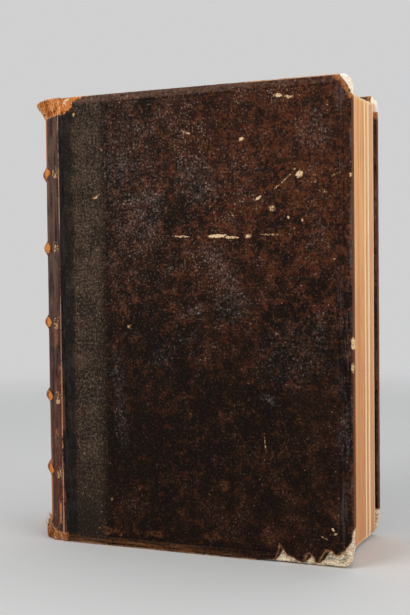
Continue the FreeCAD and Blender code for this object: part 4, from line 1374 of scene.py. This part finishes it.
@dataclass
class Frays:
    """Loose fibres at the crushed cap, thin as hairs."""

    count: int = 34
    seed: int = 77

    def build(self, material: bpy.types.Material) -> bpy.types.Object:
        """Build the fibres, each a bent tapering rod of five sides.

        Args:
            material: The finish.

        Returns:
            The object.
        """
        rng = np.random.default_rng(self.seed)
        n = self.count
        angle = np.radians(-rng.uniform(22, 44, n))
        height = rng.uniform(5.0, 13.5, n)
        length = rng.uniform(2.5, 7.0, n)
        out, _, _ = SpineLeather().face(angle, height)
        start_r = SIZE.radius + out - 0.7
        steps = np.linspace(0, 1, 7)[None, :]
        lean = rng.uniform(0.25, 0.8, n)[:, None]
        rise = rng.uniform(0.2, 0.9, n)[:, None]
        curl = rng.uniform(-0.12, 0.12, n)[:, None]
        r = start_r[:, None] + length[:, None] * lean * steps * (1 - 0.35 * steps)
        z = height[:, None] + length[:, None] * rise * steps + 0.8 * steps * steps
        a = angle[:, None] + curl * steps * steps
        middle = np.stack([SIZE.axis - r * np.cos(a), r * np.sin(a), z], -1)
        middle[..., 0] = np.maximum(middle[..., 0], -SIZE.fore + 0.3)
        middle[..., 1] = np.clip(middle[..., 1], -SIZE.half + 0.3, SIZE.half - 0.3)
        run = np.gradient(middle, axis=1)
        run /= np.linalg.norm(run, axis=-1, keepdims=True)
        side = np.cross(run, np.array([0.3, 0.2, 1.0]))
        side /= np.linalg.norm(side, axis=-1, keepdims=True)
        other = np.cross(run, side)
        ring = np.linspace(0, 2 * math.pi, 5, endpoint=False)
        thick = (0.17 * (1 - 0.8 * steps))[..., None, None]
        points = (middle[:, :, None] + thick * (side[:, :, None] * np.cos(ring)[:, None]
                                                + other[:, :, None] * np.sin(ring)[:, None]))
        ids = np.arange(n * 7 * 5).reshape(n, 7, 5)
        after = np.roll(ids, -1, 2)
        faces = np.stack([ids[:, :-1], after[:, :-1], after[:, 1:], ids[:, 1:]], -1).reshape(-1, 4).tolist()
        faces += ids[:, 0].tolist() + ids[:, -1, ::-1].tolist()
        return Skin(points.reshape(-1, 3), faces).piece("tail_frays", material)


@dataclass
class Studio:
    """Floor, backdrop, lamps and camera."""

    camera_place: tuple[float, float, float] = (0.14256, -0.67752, 0.2142)
    yaw: float = 20.79
    pitch: float = 1.82
    roll: float = -0.64
    focal: float = 950.0
    ground: Colour = srgb(208, 208, 208)

    def floor(self) -> None:
        """Lay a plain pale floor, and a pale world behind it."""
        mesh = bpy.data.meshes.new("floor")
        mesh.from_pydata([(-4, -4, 0), (4, -4, 0), (4, 4, 0), (-4, 4, 0)], [], [(0, 1, 2, 3)])
        floor = bpy.data.objects.new("floor", mesh)
        bpy.context.scene.collection.objects.link(floor)
        f = Finish("pale floor")
        mesh.materials.append(f.dress(srgb(214, 213, 211), 0.85, level=0.2))
        away = f.node("ShaderNodeVectorMath", {"operation": "LENGTH"}, {0: f.place}, 1)
        seen = f.node("ShaderNodeLightPath", {}, {}, "Is Camera Ray")
        far = f.node("ShaderNodeEmission", {}, {"Color": self.ground})
        share = away.rise(550, 1500) * seen
        both = f.node("ShaderNodeMixShader", {}, {0: share, 1: Wire(f, f.shader.outputs[0]), 2: far})
        f.tree.links.new(both.socket, f.output.inputs[0])
        world = bpy.data.worlds.new("soft room")
        bpy.context.scene.world = world
        world.use_nodes = True
        nodes, links = world.node_tree.nodes, world.node_tree.links
        nodes.clear()
        output = nodes.new("ShaderNodeOutputWorld")
        mix = nodes.new("ShaderNodeMixShader")
        light = nodes.new("ShaderNodeBackground")
        seen = nodes.new("ShaderNodeBackground")
        path = nodes.new("ShaderNodeLightPath")
        either, any_of = (nodes.new("ShaderNodeMath") for _ in range(2))
        either.operation = any_of.operation = "MAXIMUM"
        light.inputs[0].default_value = srgb(236, 240, 246)
        light.inputs[1].default_value = 0.42
        seen.inputs[0].default_value = self.ground
        links.new(path.outputs["Is Camera Ray"], either.inputs[0])
        links.new(path.outputs["Is Transmission Ray"], either.inputs[1])
        links.new(either.outputs[0], any_of.inputs[0])
        links.new(path.outputs["Is Glossy Ray"], any_of.inputs[1])
        links.new(any_of.outputs[0], mix.inputs[0])
        links.new(light.outputs[0], mix.inputs[1])
        links.new(seen.outputs[0], mix.inputs[2])
        links.new(mix.outputs[0], output.inputs[0])

    def lamps(self) -> None:
        """Hang three soft lamps: a key over the left shoulder, a fill at the right, one behind."""
        for name, place, size, power in (
                ("key", (-0.9, -1.25, 1.15), 1.1, 17.0),
                ("fill", (1.45, -0.55, 0.7), 1.0, 11.0),
                ("above", (0.1, 0.3, 1.7), 1.0, 8.0)):
            data = bpy.data.lights.new(name, "AREA")
            data.shape = "SQUARE"
            data.size = size
            data.energy = power
            lamp = bpy.data.objects.new(name, data)
            lamp.location = place
            aim = Vector((0, 0, 0.18)) - Vector(place)
            lamp.rotation_euler = aim.to_track_quat("-Z", "Y").to_euler()
            bpy.context.scene.collection.objects.link(lamp)

    def camera(self) -> None:
        """Set the camera where the photograph was taken from.

        It looks along yaw and pitch, and its own right and up are turned by the roll.
        """
        yaw, pitch, roll = (math.radians(a) for a in (self.yaw, self.pitch, self.roll))
        look = Vector((-math.sin(yaw) * math.cos(pitch), math.cos(yaw) * math.cos(pitch), -math.sin(pitch)))
        right = Vector((math.cos(yaw), math.sin(yaw), 0))
        up = right.cross(look)
        across = right * math.cos(roll) + up * math.sin(roll)
        upright = -right * math.sin(roll) + up * math.cos(roll)
        data = bpy.data.cameras.new("camera")
        data.sensor_width = 36.0
        data.lens = self.focal * 36.0 / 615
        camera = bpy.data.objects.new("camera", data)
        x, y, z = self.camera_place
        turn = Matrix((across, upright, -look)).transposed().to_4x4()
        corner = Vector((SIZE.fore * MM, -SIZE.half * MM, 0))
        camera.matrix_world = Matrix.Translation(corner + Vector((x, y, z))) @ turn
        bpy.context.scene.collection.objects.link(camera)
        bpy.context.scene.camera = camera


@dataclass
class Cover:
    """One cover: its leather, its board and the leather of its joint."""

    side: Side
    leather: CoverLeather
    finish: CoverFinish
    seed: int

    def build(self, board: bpy.types.Material, joint: bpy.types.Material) -> None:
        """Build the cover's pieces, and seat its leather and its board on its body.

        Args:
            board: The finish of the bare board.
            joint: The finish of the joint's leather.
        """
        name = self.side.name.lower()
        body = f"{name}_cover"
        leather = self.leather.build(self.finish.build())
        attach(leather, body)
        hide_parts(f"{name}_leather")
        slab = Pasteboard(self.side, self.leather, self.seed).build(board)
        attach(slab, body)
        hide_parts(f"{name}_board")
        strip = JointLeather(self.side, self.seed + 5).build(joint)
        y = self.side.value * SIZE.half * MM
        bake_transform(strip)


FOOT_TEAR = (
    (74, 0), (61.1, 1.9), (58.2, 8.5), (57.4, 14.9), (54.5, 9.9), (51.8, 6.4), (46.9, 4.8), (42.7, 2.6),
    (39.4, 1.4), (37.8, 2.5), (37.0, 7.8), (35.1, 9.6), (33.0, 8.2), (30.9, 5.3), (30.2, 2.7), (26.9, 2.4),
    (26.1, 5.7), (23.5, 10.2), (21.8, 12.5), (17.7, 12.3), (14.5, 9.4), (11.9, 10.2), (7.8, 13.2),
    (5.1, 17.0), (2.4, 20.5), (1.7, 26.6), (0.8, 29.0), (0, 31.0))
HEAD_TEAR = ((9.8, 0), (9.4, 1.6), (7.4, 3.8), (5.2, 6.6), (4.0, 8.8), (3.0, 11.0), (1.7, 13.0), (0, 15.0))
BACK_FOOT_TEAR = ((31, 0), (27, 2.4), (24.6, 6.2), (21, 7.0), (17.4, 6.1), (13, 8.8), (9.4, 11.6),
                  (5.6, 14.0), (2.8, 18.2), (1.2, 21.0), (0, 23.0))
BACK_HEAD_TEAR = ((4.6, 0), (4.3, 1.8), (3.6, 4.0), (2.9, 6.4), (2.3, 9.4), (1.3, 12.6), (0, 15.0))

FRONT_WEAR = Wear(
    scratches=(
        (-133.7, 245.8, 7.8, 0.9, -3, 0.75), (-104.5, 245.4, 8.4, 1.4, 2, 1.0), (-93.1, 244, 6.8, 1.1, -2, 0.8),
        (-60.9, 245.4, 11, 0.7, -2, 0.6), (-52.5, 284.2, 11.5, 0.6, 39, 0.6), (-71.5, 272.8, 3.4, 1.1, 35, 0.8),
        (-129, 325.2, 5.5, 0.9, -20, 0.7), (-121, 320.4, 6.5, 0.5, -36, 0.5), (-13.1, 287.6, 5, 0.9, 24, 0.5),
        (-18.7, 336, 7, 0.5, 88, 0.4), (-67.8, 89, 9.5, 0.6, 95, 0.5), (-68.4, 76, 4, 0.5, 80, 0.35),
        (-195.9, 38.1, 2.2, 0.9, 65, 0.6), (-23, 21.6, 4.2, 0.7, -24, 0.6), (-16.4, 28.4, 1.8, 0.8, -48, 0.9),
        (-14.4, 25.4, 1.6, 0.7, 35, 0.8), (-10.6, 8.5, 2.2, 0.7, -50, 0.6), (-92, 261, 3.6, 0.9, -55, 0.55),
        (-72, 66, 7, 0.6, 82, 0.3), (-234, 355.8, 6.8, 1.2, 32, 1.0), (-206.5, 279, 4.4, 1.3, 25, 0.6)),
    spots=(
        (-148.8, 245.8, 1.6, 0.9, 0, 0.6), (-119.7, 245, 1.8, 1.2, 0, 0.6), (-79.6, 245, 3.2, 1.9, 0, 0.8),
        (-47.1, 245, 1.8, 1.2, 0, 0.45), (-39.9, 289, 3.6, 2.8, 40, 0.85), (-43.5, 292.6, 2.2, 1.0, 60, 0.6),
        (-60.7, 265, 3.6, 3.0, 0, 0.65), (-84.4, 317.3, 2.3, 1.5, 0, 1.0), (-55.5, 347.6, 3.4, 1.6, -12, 0.9),
        (-47.2, 346, 4.4, 1.5, -6, 0.75), (-48.5, 257.9, 1.3, 1.3, 0, 0.9), (-37.9, 255.4, 1.0, 2.0, 10, 0.7),
        (-28.7, 287.7, 2.0, 1.8, 0, 0.5), (-20, 275.6, 1.4, 1.8, 0, 0.6), (-28, 283, 1.2, 1.6, 0, 0.6),
        (-127.5, 87.3, 1.4, 1.2, 0, 0.45), (-225.4, 345.6, 1.2, 2.3, -15, 0.85), (-201, 316, 2.4, 1.2, -40, 0.6),
        (-178.9, 176.5, 1.8, 1.8, 0, 0.8), (-18.6, 24.6, 1.1, 0.9, 60, 0.6), (-98, 271, 1.3, 1.3, 0, 0.45),
        (-1.5, 287, 1.3, 2.0, 0, 0.8), (-122, 343, 1.2, 2.0, 0, 0.4), (-185, 352.6, 1.6, 1.3, 0, 0.5),
        (-118, 276, 2.0, 1.4, 20, 0.35), (-110, 268, 1.5, 1.5, 0, 0.5), (-26, 150, 1.2, 2.2, 20, 0.35),
        (-52.6, 128, 1.4, 1.4, 0, 0.45), (-0.8, 165, 1.4, 5.5, 0, 0.9), (-1.2, 147.5, 1.3, 4.5, 0, 0.8)),
    rust=(
        (-2.6, 246, 2.6, 8.0, 0, 0.9), (-3.2, 164, 2.4, 10, 0, 0.6), (-182, 190, 7.0, 3.0, -55, 0.8),
        (-175, 197, 4.0, 2.2, -70, 0.6), (-196, 12, 12, 2.6, -3, 0.8), (-112, 15, 8, 3.0, 8, 0.5),
        (-160, 13, 14, 1.6, -3, 0.5), (-101, 104, 2.4, 11, 8, 0.3), (-100.8, 55, 5.5, 4.0, 0, 0.7), (-150, 285, 5.0, 4.0, 30, 0.6),
        (-234, 352.5, 9.0, 7.0, 18, 1.0), (-226, 357.0, 9.0, 3.0, 10, 1.0), (-60, 225, 6.0, 3.0, 20, 0.4),
        (-16, 40, 5.0, 3.0, -50, 0.5), (-64, 20, 8.0, 6.0, 30, 0.35), (-6.0, 60, 2.0, 16, 5, 0.35)),
    dust=(
        (-120, 288, 20, 14, -50, 0.75), (-120, 190, 6, 5, 0, 0.9), (-63.6, 121, 7, 3, 0, 0.8),
        (-128, 168, 7, 3.4, 10, 0.7), (-192, 141, 5, 4, 0, 0.8), (-103, 192, 3, 5, 0, 0.7), (-24, 172, 4, 20, 6, 0.5), (-98, 215, 34, 8, -58, 0.7), (-162, 262, 12, 20, 0, 0.5),
        (-30, 322, 12, 16, 0, 0.5), (-220, 200, 14, 70, 0, 0.35), (-214, 100, 9, 36, 0, 0.6),
        (-150, 152, 14, 8, 40, 0.3), (-188, 120, 6, 40, 5, 0.45), (-95, 190, 14, 9, 0, 0.5),
        (-6, 100, 4, 26, 0, 0.5), (-45, 158, 30, 24, 30, 0.25), (-192, 300, 22, 14, 0, 0.45)))
# Plain rubs of the back cover, which the photograph doesn't show.
BACK_WEAR = Wear(
    scratches=((-60, 210, 14, 0.8, 18, 0.6), (-150, 120, 10, 0.9, -30, 0.5), (-180, 230, 7, 0.7, 70, 0.5)),
    spots=((-110, 290, 3, 2.2, 0, 0.6), (-40, 70, 4, 2.0, 25, 0.6)),
    rust=((-3, 130, 2.6, 12, 0, 0.8), (-120, 200, 8, 5, 30, 0.5), (-200, 60, 6, 4, 0, 0.5)),
    dust=((-110, 240, 30, 18, -40, 0.6), (-60, 90, 24, 12, 20, 0.5), (-215, 180, 12, 90, 0, 0.5)))


def placed(marks: Marks) -> Marks:
    """Count marks from the frame's origin instead of from the fore-edge.

    Args:
        marks: Rows whose first number is counted from the fore-edge.

    Returns:
        The same rows, counted from the origin.
    """
    return tuple((SIZE.fore + mark[0], *mark[1:]) for mark in marks)


def dress_inner_nodes() -> None:
    """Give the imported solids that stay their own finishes."""
    pastedown = paper_finish()
    lining = plain("lining paper", srgb(150, 120, 86), srgb(190, 162, 122), 9, (1, 1, 1), 0.85, 0.15)
    cord = plain("hemp cord", srgb(140, 108, 68), srgb(196, 168, 122), 2.0, (1, 0.25, 1), 0.85, 0.4)
    rules = (("pastedown", pastedown), ("lining", lining), ("cord", cord), ("slip", cord))
    for name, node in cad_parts.items():
        for word, material in rules:
            if word in name:
                node.data.materials.clear()
                node.data.materials.append(material)


def main() -> None:
    """Build the studio and every piece of the book, in order."""
    scene = bpy.context.scene
    scene.view_settings.view_transform = "Standard"
    studio = Studio()
    studio.camera()
    studio.floor()
    studio.lamps()
    board = board_finish()
    joint = joint_finish()
    covers = (
        Cover(Side.FRONT, CoverLeather(Side.FRONT, FRONT_WEAR, FOOT_TEAR, HEAD_TEAR, 21, 3, 11),
              CoverFinish("front cover calf", 0.0, placed(FRONT_WEAR.scratches)), 21),
        Cover(Side.BACK, CoverLeather(Side.BACK, BACK_WEAR, BACK_FOOT_TEAR, BACK_HEAD_TEAR, 5, 3, 12),
              CoverFinish("back cover calf", 40.0, placed(BACK_WEAR.scratches)), 22),
    )
    for cover in covers:
        cover.build(board, joint)
    spine = SpineLeather().build(SpineFinish().build())
    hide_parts("spine_leather")
    leaves = Leaves().build(leaves_finish())
    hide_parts("text_block")
    silk = thread_finish()
    bands = [(EndBand("worked_headband", 356.0, 4.0).build(silk), "headband"),
             (EndBand("worked_tailband", 2.15, 1.7).build(silk), "tailband")]
    frays = Frays().build(plain("frayed fibre", srgb(176, 120, 66), srgb(232, 196, 150), 3, (1, 1, 1), 0.8, 0.05))
    for piece, slot in ((spine, "spine_leather"), (leaves, "leaves"), (bands[0][0], "endband"),
                        (bands[1][0], "endband"), (frays, "spine_leather")):
        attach(piece, "book_block")
    for piece, node in bands:
        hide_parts(node)
    dress_inner_nodes()


if __name__ == "__main__":
    main()
